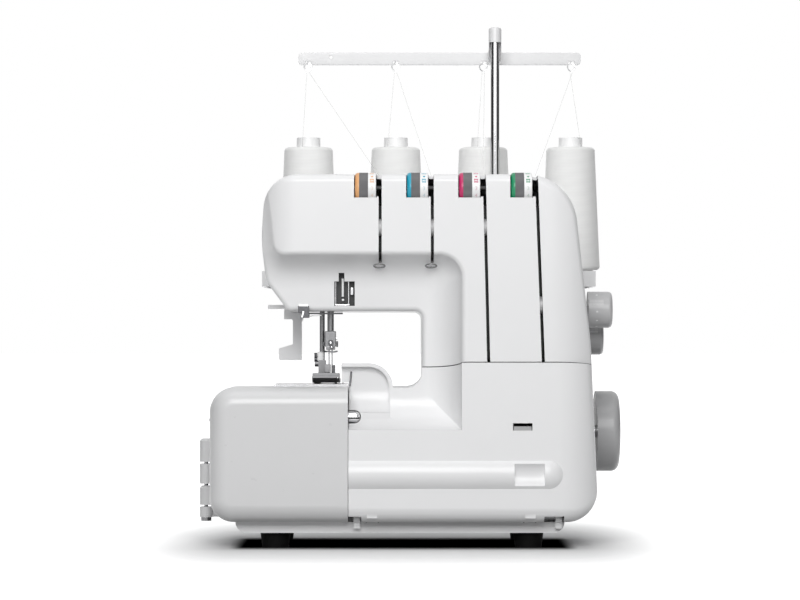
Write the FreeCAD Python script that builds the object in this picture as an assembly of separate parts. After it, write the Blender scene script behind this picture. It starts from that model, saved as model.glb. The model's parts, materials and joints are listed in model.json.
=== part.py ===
import FreeCAD, Part
import math
import os

# Overlock machine. Millimetres, x to the right, y to the back, z up from the table.
# Depths are measured back from the flat front face of the housing.

vec = FreeCAD.Vector

# Overall places
front_y = -124.0
foot_height = 12.0
skirt_height = 21.0
bed_height = 124.5
seam_rise = 20.5
seam_height = bed_height + seam_rise
seam_tilt = 8.0
throat_height = 60.1
head_bottom = bed_height + throat_height
body_top = 290.0
wall = 2.4
seam_gap = 0.4
slide_gap = 0.05
beyond = 60.0
over = 1.0
arc_share = 0.99

# Upper housing
head_left = -116.5
head_chin_rise = 23.4
head_chin_height = head_bottom + head_chin_rise
head_bulge_rise = 32.0
head_bulge_height = head_chin_height + head_bulge_rise
head_chin_step = 3.3
head_chin_run = 20.5
head_top_step = 4.0
head_top_radius = 27.0
head_bulge_radius = 120.0
head_chin_radius = 20.0
head_chin_edge = 4.0
shoulder_x = 124.2
shoulder_radius = 40.0
waist_x = 139.4
waist_height = 160.0
waist_radius = 200.0
body_depth = 150.0
upper_split = 76.0
upper_front_round = 34.0
upper_side_round = 44.0
upper_back_round = 16.0
plan_overhang = 6.0
front_edge_round = 6.0

# Lower housing and its covers
bed_left = -150.0
side_seam_x = 140.1
side_skirt_x = 146.0
skirt_corner = 24.0
bed_corner = 10.0
cover_round = 38.0
lower_back_round = 20.0
cover_edge_round = 12.0
cover_split_x = -48.5
cover_depth = 32.0
cover_fold_gap = 0.9

# Throat of the machine and the coved pocket round it
column_x = 8.6
throat_corner = 6.0
throat_low_corner = 12.5
pocket_rise = 42.9
pocket_top = head_bottom + pocket_rise
panel_left = -104.9
panel_corner = 10.0
panel_lean = 5.5
pocket_right = 39.2
pocket_drop = 31.8
pocket_bottom = bed_height - pocket_drop
pocket_corner = 17.4
cove_width = 26.0
cove_depth = 28.0
cove_steps = 5

# Tongue of the looper cover beside the presser foot
tongue_left = -54.3
tongue_right = -13.2
tongue_rise = 19.5
tongue_top = bed_height + tongue_rise
tongue_corner = 19.0
tongue_tip_round = 1.0
tongue_thickness = 10.5
tongue_lean = 1.6
tongue_lift = 4.2
scoop_rim = 2.8
scoop_depth = 7.5
scoop_floor_rise = 4.3
scoop_floor = pocket_bottom + scoop_floor_rise
scoop_bow = 24.0
scoop_top_round = 2.0

# Looper cover details
rail_bottom = 47.3
rail_top = 69.0
rail_rise = 4.0
rail_right = 106.0
thumb_left = 79.6
thumb_right = 103.0
thumb_sink = 1.4
window_left = 78.5
window_right = 93.5
window_bottom = 92.2
window_top = 97.9
window_tab_height = 3.2
window_tab_play = 0.6
hinge_depth = 16.0
hinge_height = 24.6
hinge_rod_radius = 2.0
sleeve_wall = 1.2
sleeve_collar = 1.2
sleeve_collar_gap = 0.1
ear_wall = 1.3
ear_width = 8.0
ear_places = (-34.0, 88.0)
lug_width = 5.0
lug_places = (-44.5, 112.0)
lug_notch = 1.2
cover_travel = 8.0
lock_drop = 22.3
lock_height = bed_height - lock_drop
lock_depth = 20.5
lock_radius = 4.2
lock_reach = 8.8
lock_clear = 0.8
lock_tip_share = 0.8

# Cloth plate cover
box_left = -156.0
box_lift = 1.3
box_top = bed_height + box_lift
box_depth = 58.0
box_top_corner = 20.0
box_low_corner = 18.5
box_edge_round = 14.0
plate_notch_depth = 34.0
plate_notch_gap = 0.7
nub_radius = 1.7
nub_drop = 26.2
nub_height = box_top - nub_drop
nub_depth = 30.0
knuckle_x = -161.9
knuckle_depth = 62.0
knuckle_radius = 5.1
knuckle_bottom = 22.0
knuckle_heights = (8.2, 15.2, 15.8, 18.4)
knuckle_gap = 1.5
knuckle_leaf = 4.4
pin_radius = 1.6
pin_head_radius = 4.2
pin_head_height = 3.0

# Base pan and feet
pan_left = -136.5
pan_right = 119.5
pan_depth = 22.0
pan_back = 146.0
pan_corner = 9.0
pan_wall = 3.0
pan_clear = 0.4
foot_radius = 12.0
foot_taper = 1.5
foot_places_x = (-106.0, 92.0)
foot_places_depth = (40.0, 128.0)

# Needle area
plate_left = -107.0
plate_right = -49.6
plate_back = 92.0
plate_lift = 1.0
plate_bottom = bed_height + plate_lift
plate_thickness = 2.0
plate_top = plate_bottom + plate_thickness
needle_x = -63.4
needle_depth = 60.0
needle_spacing = 2.4
needle_radius = 0.6
needle_lift = 5.5
needle_tip = plate_top + needle_lift
needle_length = 21.1
needle_bar_radius = 2.6
needle_bar_top = 262.0
clamp_bottom = needle_tip + needle_length
clamp_height = 14.9
clamp_top = clamp_bottom + clamp_height
clamp_half_width = 4.8
clamp_half_depth = 6.0
clamp_lip = 2.0
clamp_screw_radius = 1.5
clamp_screw_rises = (3.7, 8.2)
needle_stroke = 13.0
presser_x = -70.3
presser_depth = 72.0
presser_bar_radius = 2.05
presser_bar_top = 258.0
foot_left = -77.3
foot_right = -55.9
foot_front = 34.0
foot_back = 84.0
foot_lift = 0.9
foot_sole = plate_top + foot_lift
foot_sole_thickness = 3.2
foot_wall_rise = 7.2
foot_wall_top = foot_sole + foot_wall_rise
ankle_half_width = 3.0
ankle_rise = 17.6
ankle_top = foot_sole + ankle_rise
ankle_depth = 7.0
foot_toe_rise = 4.0
foot_slit = 1.0
foot_screw_radius = 2.6
feed_row_width = 5.0
feed_row_gap = 8.0
feed_edge_half = 1.0
feed_front = 50.0
feed_back = 78.0
feed_teeth = 9
feed_tooth_rise = 0.6
feed_clear = 0.8
feed_bar_gap = 2.0
feed_travel = 3.0
knife_x = -54.2
knife_thickness = 1.5
knife_front = 55.0
knife_back = 63.0
knife_rise = 8.5
knife_top = plate_top + knife_rise
knife_drop = 40.5
knife_bottom = bed_height - knife_drop
knife_bevel = 6.0
knife_bevel_back = 4.0
knife_travel = 8.0

# Loopers
lower_looper_x = -36.0
lower_looper_height = 60.0
lower_looper_depth = 46.5
upper_looper_x = -8.0
upper_looper_height = 66.0
upper_looper_depth = 39.4
looper_thickness = 5.0
looper_hub_radius = 6.5
looper_shaft_radius = 3.0
looper_arm_width = 6.0
looper_tip_drop = 14.5
looper_tip_height = bed_height - looper_tip_drop
looper_finger = 22.0
looper_finger_height = 3.0

# Arm drive
rocker_depth = 90.0
rocker_radius = 4.0
rocker_pin_height = 230.0
rocker_pin_radius = 1.5
rocker_lever_width = 4.0
rocker_lever_gap = 0.6
rocker_fork = 4.0
rocker_fork_clear = 0.25
rocker_right = 52.0

# Main shaft, belt and motor
shaft_depth = 100.0
shaft_height = 88.8
shaft_radius = 5.0
shaft_left = -18.0
shaft_clear = 1.0
bearing_radius = 10.0
bearing_width = 8.0
bearing_block = 1.6
bearing_places = (26.0, 110.0)
wheel_radius = 32.2
wheel_inner_x = 148.5
wheel_outer_x = 167.0
wheel_round = 6.0
wheel_dish = 2.0
eccentric_radius = 12.0
eccentric_throw = 4.0
eccentric_width = 8.0
eccentric_places = (-12.0, 8.0)
pulley_x = 97.0
pulley_width = 9.0
pulley_radius = 28.0
pulley_flange = 2.5
motor_pulley_radius = 8.0
motor_height = 50.0
motor_radius = 19.0
motor_back_gap = 4.6
motor_depth = body_depth - wall - motor_back_gap - motor_radius
motor_left = 42.0
motor_right = 92.0
motor_shaft_radius = 3.0
rotor_reach = 2.0
belt_thickness = 2.0
belt_gap = 0.3
belt_margin = 1.0

# Frame casting
frame_base = 6.0
frame_left = -91.0
frame_right = 118.0
frame_front = 66.0
frame_back = 144.0
frame_plate = 8.0
frame_spine_depth = 104.0
frame_top = 262.0
frame_column_left = 26.0
frame_column_right = 92.0
guide_low_rise = 4.4
guide_low_bottom = head_bottom + guide_low_rise
guide_high_bottom = 246.0
guide_thickness = 8.0
guide_margin = 6.0

# Tension dials and thread slots
dial_count = 4
first_dial_x = -43.3
dial_pitch = 40.1
dial_radius = 12.0
dial_height = 279.4
dial_depth = 10.0
dial_cap_width = 3.3
dial_wheel_width = 6.9
dial_scale_width = 6.1
dial_well_gap = 0.6
dial_axle_radius = 1.75
dial_lug_width = 2.5
dial_lug_gap = 0.8
slot_width = 2.4
slot_mouth_width = 3.8
slot_mouth_bottom = 272.5
slot_reach = 30.0
slot_leans = (0.0, 0.4, 3.4, 5.4)
slot_short_drop = 5.5
slot_short_bottom = pocket_top - slot_short_drop
short_slots = 2
channel_wall = 2.0
channel_depth = 17.0
channel_top = 266.0
channel_clear = 0.6
disc_radius = 6.6
disc_thickness = 0.5
disc_depth = 9.5
disc_heights = (249.0, 249.0, 249.0, 189.0)
disc_post_radius = 1.5

# Head window and small guides
take_up_left = -59.7
take_up_right = -43.8
take_up_rise = 4.0
take_up_bottom = head_bottom + take_up_rise
take_up_height = 19.1
take_up_top = take_up_bottom + take_up_height
take_up_notch_left = -56.3
take_up_notch_right = -51.9
take_up_notch_height = 6.6
take_up_notch_top = take_up_top + take_up_notch_height
take_up_bracket = 1.0
ring_radius = 4.6
ring_wire = 0.9
ring_drop = 7.7
ring_height = pocket_top - ring_drop
ring_depth = 20.0
head_hole_left = -82.0
head_hole_right = -54.0
head_hole_front = 50.0
head_hole_back = 79.0
under_plate_left = -86.0
under_plate_right = -53.2
under_plate_thickness = 1.6
under_plate_front = 40.0
under_plate_back = 49.5
under_clip_left = -88.0
under_clip_right = -79.4
under_clip_rise = 5.4
under_clip_top = head_bottom + under_clip_rise
under_clip_thickness = 1.4
under_riser = 1.0

# Presser foot lifter
lifter_x = -92.0
lifter_depth = 126.0
lifter_pivot_drop = 4.6
lifter_pivot_height = head_bottom - lifter_pivot_drop
lifter_pivot_radius = 2.5
lifter_thickness = 6.0
lifter_hub_radius = 4.4
lifter_half_width = 3.6
lifter_length = 34.6
lifter_bottom = lifter_pivot_height - lifter_length
lifter_tab_left = -107.0
lifter_tab_height = 9.6
lifter_tab_top = lifter_bottom + lifter_tab_height
lifter_tab_round = 1.5
lifter_boss_clear = 0.4
lifter_boss_left = -103.0
lifter_web_drop = 1.0
cutter_left = -116.0
cutter_front = 128.0
cutter_back = 138.0
cutter_rise = 2.8
cutter_bottom = head_bottom + cutter_rise
cutter_height = 3.2
cutter_top = cutter_bottom + cutter_height

# Right hand dials
stitch_depth = 70.0
stitch_height = 186.0
stitch_radius = 14.4
stitch_face_x = 159.7
stitch_inner_x = 140.4
feed_dial_depth = 106.0
feed_dial_height = 164.5
feed_dial_radius = 14.4
feed_dial_face_x = 155.1
feed_dial_inner_x = 142.6
knob_round = 3.2
knob_shaft_radius = 3.0
knob_shaft_left = 118.0

# Spool stand, mast and thread
stand_left = -122.0
stand_right = 152.5
stand_back = 252.0
stand_bottom = 206.0
stand_top = 218.8
stand_corner = 14.0
stand_wall = 2.6
cone_count = 4
first_cone_x = -86.0
cone_pitch = 74.0
cone_depth = 222.0
cone_base_radius = 24.8
cone_top_radius = 20.4
cone_bottom = 221.4
cone_shoulder = 324.8
cone_neck_top = 333.2
cone_neck_radius = 9.9
cone_foot_radius = 14.0
cone_wall = 1.5
cone_edge_round = 3.0
holder_radius = 19.0
holder_height = 26.0
spool_pin_radius = 3.0
spool_pin_top = 318.0
mast_x = 71.0
mast_depth = 190.0
mast_radius = 3.5
mast_top = 410.5
mast_bottom = 168.0
mast_tube_radius = 5.6
mast_tube_bottom = 112.0
mast_tube_rim = 2.0
cap_radius = 5.3
cap_height = 12.7
cap_skirt = 15.0
bar_left = -94.5
bar_right = 144.5
bar_depth = 222.0
bar_bottom = 395.0
bar_height = 10.4
bar_thickness = 3.0
eyelet_x = (-86.4, -12.2, 62.0, 136.5)
eyelet_height = 394.0
eyelet_radius = 4.2
eyelet_wire = 0.9
thread_radius = 0.2
thread_seat_gap = 0.3
thread_leave_radius = 14.0
thread_leave_turn = (-20.0, -29.0, -22.0, 36.0)
thread_entry_depth = 6.0
thread_entry_lift = 1.0

# Back panel
inlet_x = -24.0
inlet_height = 60.0
inlet_half_width = 14.0
inlet_half_height = 10.0
inlet_flange = 3.0
inlet_depth = 16.0
inlet_pin_radius = 1.2
switch_depth = 131.0
switch_height = 40.0
switch_half_width = 7.0
switch_half_height = 10.0
switch_proud = 2.6
switch_play = 0.5
switch_pivot_radius = 1.5
switch_pivot_reach = 0.3
screw_radius = 3.0
screw_head_height = 1.6
screw_length = 10.0
screw_slot = 0.8


def at_front(point):
    return vec(point.x, front_y, point.y)


def at_plan(point):
    return vec(point.x, front_y + point.y, 0)


def at_side(point):
    return vec(0, front_y + point.x, point.y)


def rounded(corners, place):
    """Closed wire through corners (u, v, radius), with a tangent arc at each radius.

    Arcs that would meet on a side between them are made smaller to share it.
    """
    count = len(corners)
    points = [vec(u, v, 0) for u, v, radius in corners]
    sides = [points[(index + 1) % count] - points[index] for index in range(count)]
    halves = [(sides[index - 1] * -1).getAngle(sides[index]) / 2 for index in range(count)]
    wanted = [max(corners[index][2], 0) / math.tan(halves[index]) for index in range(count)]
    shares = []
    for index, side in enumerate(sides):
        both = wanted[index] + wanted[(index + 1) % count]
        shares.append(min(1, arc_share * side.Length / both) if both > 0 else 1)
    stops = []
    for index, corner in enumerate(points):
        reach = wanted[index] * min(shares[index - 1], shares[index])
        if reach <= 0:
            stops.append((corner, None, corner))
            continue
        back = (sides[index - 1] * -1).normalize()
        ahead = vec(sides[index]).normalize()
        inward = (back + ahead).normalize()
        radius = reach * math.tan(halves[index])
        middle = corner + inward * (radius / math.sin(halves[index]) - radius)
        stops.append((corner + back * reach, middle, corner + ahead * reach))
    edges = []
    for index, (start, middle, end) in enumerate(stops):
        if middle is not None:
            edges.append(Part.Arc(place(start), place(middle), place(end)).toShape())
        following = stops[(index + 1) % count][0]
        edges.append(Part.LineSegment(place(end), place(following)).toShape())
    return Part.Wire(edges)


def front_prism(corners, depth_0, depth_1):
    face = Part.Face(rounded(corners, at_front))
    face.translate(vec(0, depth_0, 0))
    return face.extrude(vec(0, depth_1 - depth_0, 0))


def plan_prism(corners, z_0, z_1):
    face = Part.Face(rounded(corners, at_plan))
    face.translate(vec(0, 0, z_0))
    return face.extrude(vec(0, 0, z_1 - z_0))


def side_prism(corners, x_0, x_1):
    face = Part.Face(rounded(corners, at_side))
    face.translate(vec(x_0, 0, 0))
    return face.extrude(vec(x_1 - x_0, 0, 0))


def block(x_0, x_1, depth_0, depth_1, z_0, z_1):
    return Part.makeBox(x_1 - x_0, depth_1 - depth_0, z_1 - z_0, vec(x_0, front_y + depth_0, z_0))


def rod_x(x_0, x_1, depth, z, radius):
    return Part.makeCylinder(radius, x_1 - x_0, vec(x_0, front_y + depth, z), vec(1, 0, 0))


def rod_y(depth_0, depth_1, x, z, radius):
    return Part.makeCylinder(radius, depth_1 - depth_0, vec(x, front_y + depth_0, z), vec(0, 1, 0))


def rod_z(z_0, z_1, x, depth, radius):
    return Part.makeCylinder(radius, z_1 - z_0, vec(x, front_y + depth, z_0), vec(0, 0, 1))


def taper_z(z_0, z_1, x, depth, radius_0, radius_1):
    return Part.makeCone(radius_0, radius_1, z_1 - z_0, vec(x, front_y + depth, z_0), vec(0, 0, 1))


def fuse(shapes):
    first = shapes[0]
    return first.fuse(shapes[1:]).removeSplitter() if len(shapes) > 1 else first


def rounded_end(shape, radius, near):
    """Round the circular edges whose centre lies nearest to a point."""
    edges = [edge for edge in shape.Edges if isinstance(edge.Curve, Part.Circle)]
    nearest = min((edge.Curve.Center - near).Length for edge in edges)
    chosen = [edge for edge in edges if (edge.Curve.Center - near).Length < nearest + 0.001]
    widest = max(edge.Curve.Radius for edge in chosen)
    return shape.makeFillet(radius, [edge for edge in chosen if edge.Curve.Radius > widest - 0.001])


pieces = {}


def seam_z(depth):
    """Height of the tilted seam between the upper and the lower housing."""
    return seam_height - math.tan(math.radians(seam_tilt)) * depth


def below_seam(shift):
    far = 2 * body_depth
    low = -beyond
    corners = [
        (-beyond, seam_z(-beyond) + shift, 0),
        (far, seam_z(far) + shift, 0),
        (far, low, 0),
        (-beyond, low, 0),
    ]
    return side_prism(corners, head_left - 2 * beyond, wheel_outer_x + beyond)


def side_x(z):
    """Right hand side of the lower housing at a height."""
    lean = (side_skirt_x - side_seam_x) / (seam_height - skirt_height)
    return side_seam_x + lean * (seam_height - z)


def pocket(grow):
    """Coved pocket round the throat and the end of the front panel, as a cutter.

    It is grown by a wall for the inner skin.
    """
    far_left = head_left - 2 * beyond
    far_up = body_top - pocket_top + beyond
    wires = []
    for step in range(cove_steps + 1):
        turn = math.pi / 2 * step / cove_steps
        inset = cove_width * (1 - math.cos(turn)) - grow
        sink = (cove_depth + grow) * math.sin(turn)
        corner = pocket_corner + (throat_corner - pocket_corner) * (1 - math.cos(turn))
        top = pocket_top - inset
        bottom = pocket_bottom + inset
        right = pocket_right - inset
        outline = [
            (far_left, bottom, 0),
            (right, bottom, 0),
            (right, top, corner),
            (panel_left - inset, top, panel_corner + inset),
            (panel_left - math.tan(math.radians(panel_lean)) * far_up - inset, top + far_up, 0),
            (far_left, top + far_up, 0),
        ]
        wire = rounded(outline, at_front)
        wire.translate(vec(0, sink, 0))
        wires.append(wire)
    mouth = Part.Face(wires[0]).extrude(vec(0, -beyond, 0))
    return [Part.makeLoft(wires, True, False), mouth]


def front_edge_rounded(shape, radius, x, z, depth):
    """Round the chain of front edges that passes a point of the front face."""
    probe = Part.Vertex(vec(x, front_y + depth, z))
    edge = min(shape.Edges, key=lambda candidate: candidate.distToShape(probe)[0])
    return shape.makeFillet(radius, [edge])


def upper_body(inset):
    corners = [
        (head_left + head_top_step + inset, body_top - inset, head_top_radius - inset),
        (head_left + inset, head_bulge_height, head_bulge_radius),
        (head_left + head_chin_step + inset, head_chin_height, head_chin_radius),
        (head_left + head_chin_run + inset, head_bottom + inset, throat_corner),
        (column_x + inset, head_bottom + inset, throat_corner),
        (column_x + inset, skirt_height, 0),
        (side_x(skirt_height) - inset, skirt_height, 0),
        (waist_x - inset, waist_height, waist_radius),
        (shoulder_x - inset, body_top - inset, shoulder_radius - inset),
    ]
    solid = front_prism(corners, inset, body_depth - inset)
    left = head_left - plan_overhang + inset
    right = side_x(skirt_height) + plan_overhang - inset
    plan = [
        (left, inset, upper_front_round - inset),
        (right, inset, upper_side_round - inset),
        (right, body_depth - inset, upper_back_round - inset),
        (left, body_depth - inset, upper_back_round - inset),
    ]
    solid = solid.common(plan_prism(plan, 0, body_top + beyond))
    solid = front_edge_rounded(solid, front_edge_round - inset, 0, body_top - inset, inset)
    return solid.cut(pocket(inset))


def chin_rounded(shape):
    """Soften the front edge of the recessed head, along its chin."""
    plane = front_y + cove_depth
    chosen = []
    for edge in shape.Edges:
        box = edge.BoundBox
        flat = abs(box.YMin - plane) < slide_gap and abs(box.YMax - plane) < slide_gap
        if flat and box.XMax < panel_left + head_chin_run and box.ZMin < pocket_top - cove_width - over:
            chosen.append(edge)
    return shape.makeFillet(head_chin_edge, chosen)


def lower_body(inset, bottom):
    corners = [
        (bed_left + inset, bed_height - inset, bed_corner - inset),
        (bed_left + inset, bottom + inset, bed_corner - inset),
        (side_x(bottom) - inset, bottom + inset, skirt_corner - inset),
        (side_x(head_bottom) - inset, head_bottom, 0),
        (column_x + inset, head_bottom, 0),
        (column_x + inset, bed_height - inset, throat_low_corner + inset),
    ]
    solid = front_prism(corners, inset, body_depth - inset)
    right = side_x(skirt_height) + plan_overhang - inset
    left = bed_left - beyond
    plan = [
        (left, inset, 0),
        (right, inset, cover_round - inset),
        (right, body_depth - inset, lower_back_round - inset),
        (left, body_depth - inset, 0),
    ]
    solid = solid.common(plan_prism(plan, 0, body_top))
    solid = front_edge_rounded(solid, cover_edge_round - inset, 0, bottom + inset, inset)
    return solid.cut(pocket(inset))


def dial_x(index):
    return first_dial_x + index * dial_pitch


def slot_left(index):
    return dial_x(index) + dial_cap_width + dial_wheel_width + dial_scale_width + dial_well_gap


def slot_bottom(index):
    return slot_short_bottom if index < short_slots else seam_height - beyond


def slot_centre(index, z):
    """Middle of a thread slot at a height; the two long slots lean."""
    top_x = slot_left(index) + slot_mouth_width - slot_width / 2
    return top_x + slot_leans[index] * (body_top - z) / (body_top - seam_height)


def slot_band(index, half_width, z_0, z_1, depth_0, depth_1):
    low = slot_centre(index, z_0)
    high = slot_centre(index, z_1)
    corners = [
        (low - half_width, z_0, 0),
        (low + half_width, z_0, 0),
        (high + half_width, z_1, 0),
        (high - half_width, z_1, 0),
    ]
    return front_prism(corners, depth_0, depth_1)


def slot_cutter(index):
    narrow = slot_band(index, slot_width / 2, slot_bottom(index), body_top + beyond, -beyond, slot_reach)
    mouth_right = slot_left(index) + slot_mouth_width
    mouth = block(slot_left(index), mouth_right, -beyond, slot_reach, slot_mouth_bottom, body_top + beyond)
    return narrow.fuse(mouth)


def dial_well(index):
    left = dial_x(index) - dial_well_gap
    return rod_x(left, slot_left(index), dial_depth, dial_height, dial_radius + dial_well_gap)


def dial_lug(index):
    """Rib inside the top wall that carries the dial axle beside one dial."""
    right = dial_x(index) - dial_lug_gap
    half = dial_axle_radius + wall
    lug = block(right - dial_lug_width, right, dial_depth - half, dial_depth + half,
                dial_height - half, body_top - wall)
    return lug.cut(rod_x(right - beyond, right + beyond, dial_depth, dial_height, dial_axle_radius))


def knob_holes():
    clear = knob_shaft_radius + slide_gap
    return [
        rod_x(knob_shaft_left, wheel_outer_x, stitch_depth, stitch_height, clear),
        rod_x(knob_shaft_left, wheel_outer_x, feed_dial_depth, feed_dial_height, clear),
    ]


def take_up_window(depth_0, depth_1):
    window = block(take_up_left, take_up_right, depth_0, depth_1, take_up_bottom, take_up_top)
    notch = block(take_up_notch_left, take_up_notch_right, depth_0, depth_1, take_up_top, take_up_notch_top)
    return window.fuse(notch)


def screw_sites():
    """Heads of the back screws: x, z and depth of the wall that they sit on."""
    upper_x = head_left + 3 * upper_front_round / 2
    return [
        (upper_x, body_top - upper_back_round - guide_margin, body_depth),
        (shoulder_x - shoulder_radius, body_top - upper_back_round - guide_margin, body_depth),
        (bed_left + lower_back_round + guide_margin, skirt_height + lower_back_round, body_depth),
        (side_skirt_x - lower_back_round - skirt_corner, skirt_height + lower_back_round, body_depth),
    ]


def make_upper_housings():
    shell = chin_rounded(upper_body(0)).cut(upper_body(wall)).cut(below_seam(seam_gap / 2))
    front = shell.common(block(head_left - beyond, wheel_outer_x, -beyond, upper_split, 0, body_top + beyond))
    front = front.fuse([dial_lug(index) for index in range(dial_count)])
    tools = [slot_cutter(index) for index in range(dial_count)]
    tools += [dial_well(index) for index in range(dial_count)]
    tools.append(take_up_window(0, upper_split))
    tools.append(block(head_hole_left, head_hole_right, head_hole_front, upper_split + beyond,
                       head_bottom - beyond, head_bottom + 2 * wall))
    tools += knob_holes()
    pieces["upper_front_housing"] = front.cut(tools)
    rear_block = block(head_left - beyond, wheel_outer_x, upper_split + seam_gap, body_depth + over,
                       0, body_top + beyond)
    rear = shell.common(rear_block)
    boss = rod_y(lifter_depth + lifter_thickness / 2 + lifter_boss_clear, body_depth - wall,
                 lifter_x, lifter_pivot_height, lifter_hub_radius)
    web = block(lifter_boss_left, lifter_x + lifter_half_width,
                lifter_depth + lifter_thickness / 2 + lifter_boss_clear, body_depth - wall,
                lifter_pivot_height - lifter_web_drop, head_bottom + wall)
    cutter = block(cutter_left, head_left + head_chin_run + wall, cutter_front, cutter_back,
                   cutter_bottom, cutter_top)
    holes = knob_holes()
    holes.append(rod_y(lifter_depth, body_depth + over, lifter_x, lifter_pivot_height,
                       lifter_pivot_radius + slide_gap))
    holes.append(block(head_hole_left, head_hole_right, 0, head_hole_back,
                       head_bottom - beyond, head_bottom + 2 * wall))
    holes += [rod_y(depth - beyond, depth + over, x, z, screw_radius / 2)
              for x, z, depth in screw_sites()[:2]]
    pieces["upper_rear_housing"] = rear.fuse([boss, web, cutter]).cut(holes)


def pan_top():
    return skirt_height - pan_clear


def make_lower_housing():
    shell = lower_body(0, pan_top()).cut(lower_body(wall, pan_top())).common(below_seam(-seam_gap / 2))
    tools = [
        block(bed_left - beyond, cover_split_x, -beyond, box_depth + seam_gap, 0, body_top),
        block(cover_split_x - over, wheel_outer_x, -beyond, cover_depth + cover_fold_gap, 0, body_top),
        block(plate_left - seam_gap, plate_right + seam_gap, 0, plate_back + seam_gap,
              bed_height - 2 * wall, bed_height + beyond),
        block(cover_split_x - over, tongue_right + cover_travel + plate_notch_gap, 0,
              cove_depth + tongue_thickness + plate_notch_gap, pocket_bottom, bed_height + beyond),
        rod_x(shaft_left, wheel_outer_x, shaft_depth, shaft_height, shaft_radius + shaft_clear),
        block(side_seam_x - beyond, wheel_outer_x,
              switch_depth - switch_half_width - switch_play, switch_depth + switch_half_width + switch_play,
              switch_height - switch_half_height - switch_play,
              switch_height + switch_half_height + switch_play),
        block(inlet_x - inlet_half_width, inlet_x + inlet_half_width, body_depth - beyond / 2,
              body_depth + over, inlet_height - inlet_half_height, inlet_height + inlet_half_height),
    ]
    tools += [rod_y(depth - beyond, depth + over, x, z, screw_radius / 2)
              for x, z, depth in screw_sites()[2:]]
    pieces["lower_housing"] = shell.cut(tools)


def tongue_outline(shrink):
    low = pocket_bottom + cove_width / 2
    return [
        (tongue_left + shrink, bed_height + tongue_lift, 0),
        (tongue_left + shrink, tongue_top - shrink, tongue_tip_round),
        (tongue_right - tongue_lean - shrink, tongue_top - shrink, tongue_corner - shrink),
        (tongue_right - shrink, low, 0),
        (cover_split_x + seam_gap / 2 + shrink, low, 0),
        (cover_split_x + seam_gap / 2 + shrink, bed_height + tongue_lift, 0),
    ]


def scoop():
    """Hollow of the tongue: a bowed floor that rises into its back wall, inside the rim."""
    back = cove_depth + scoop_depth
    profile = [
        (0, scoop_floor, 0),
        (back, scoop_floor + scoop_bow / 4, scoop_bow),
        (back, tongue_top - scoop_rim, scoop_top_round),
        (0, tongue_top - scoop_rim, 0),
    ]
    left = tongue_left - beyond
    bowl = side_prism(profile, left, tongue_right)
    outline = [
        (left, scoop_floor, 0),
        (tongue_right - scoop_rim, scoop_floor, 0),
        (tongue_right - tongue_lean - scoop_rim, tongue_top - scoop_rim, tongue_corner - scoop_rim),
        (left, tongue_top - scoop_rim, 0),
    ]
    return bowl.common(front_prism(outline, 0, back + over))


def make_looper_cover():
    shell = lower_body(0, skirt_height).cut(lower_body(wall, skirt_height)).common(below_seam(-seam_gap / 2))
    left = cover_split_x + seam_gap / 2
    cover = shell.common(block(left, wheel_outer_x, -beyond, cover_depth, 0, body_top))
    chord = (rail_top - rail_bottom) / 2
    radius = (chord ** 2 + rail_rise ** 2) / (2 * rail_rise)
    middle = (rail_top + rail_bottom) / 2
    axis_depth = radius - rail_rise
    rail = rod_x(left, rail_right, axis_depth, middle, radius)
    rail = rail.fuse(Part.makeSphere(radius, vec(rail_right, front_y + axis_depth, middle)))
    rail = rail.common(block(left, rail_right + radius, -beyond, wall / 2, rail_bottom, rail_top))
    hollow_radius = (chord ** 2 + (rail_rise + thumb_sink) ** 2) / (2 * (rail_rise + thumb_sink))
    hollow = rod_x(thumb_left, thumb_right, thumb_sink - hollow_radius, middle, hollow_radius)
    tongue = front_prism(tongue_outline(0), cove_depth - 2 * wall, cove_depth + tongue_thickness)
    tongue = tongue.cut(pocket(0))
    carrier = front_prism(tongue_outline(0), 0, cove_depth + tongue_thickness)
    backing = carrier.common(lower_body(0, skirt_height)).common(
        block(left, tongue_right, 0, cover_depth, pocket_bottom, bed_height))
    ears = []
    for place in ear_places:
        outer = hinge_rod_radius + sleeve_wall + slide_gap + ear_wall
        ear = rod_x(place, place + ear_width, hinge_depth, hinge_height, outer)
        arm = block(place, place + ear_width, wall / 2, hinge_depth, hinge_height, hinge_height + outer)
        ears += [ear, arm]
    cover = cover.fuse([rail, tongue, backing] + ears)
    bore = hinge_rod_radius + sleeve_wall + slide_gap
    tools = [scoop(), hollow]
    tools += [rod_x(place - over, place + ear_width + over, hinge_depth, hinge_height, bore)
              for place in ear_places]
    tools.append(block(window_left, window_right, -over, 2 * wall, window_bottom, window_top))
    half_notch = lock_radius + lock_clear
    tools.append(block(cover_split_x - over, cover_split_x + lock_reach + lock_clear - half_notch, -over,
                       cover_depth + beyond, lock_height - half_notch, lock_height + half_notch))
    tools.append(rod_y(-over, cover_depth + beyond, cover_split_x + lock_reach + lock_clear - half_notch,
                       lock_height, half_notch))
    for place in lug_places:
        tools.append(block(place - lug_notch - cover_travel, place + lug_width + lug_notch,
                           wall, cover_depth, 0, hinge_height + 2 * lug_width))
    lip = hinge_depth - hinge_rod_radius - sleeve_wall - ear_wall - lug_notch
    tools.append(block(cover_split_x - over, pan_right + pan_clear, lip, cover_depth + over,
                       skirt_height - over, skirt_height + wall + pan_clear))
    pieces["looper_cover"] = cover.cut(tools).removeSplitter()
    tab = block(window_left + window_tab_play, window_right - window_tab_play, wall, 3 * wall,
                window_bottom, window_bottom + window_tab_height)
    foot = block(window_left - wall, window_right + wall, wall, 2 * wall,
                 window_bottom - wall, window_bottom)
    pieces["cover_window_tab"] = fuse([tab, foot])


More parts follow.
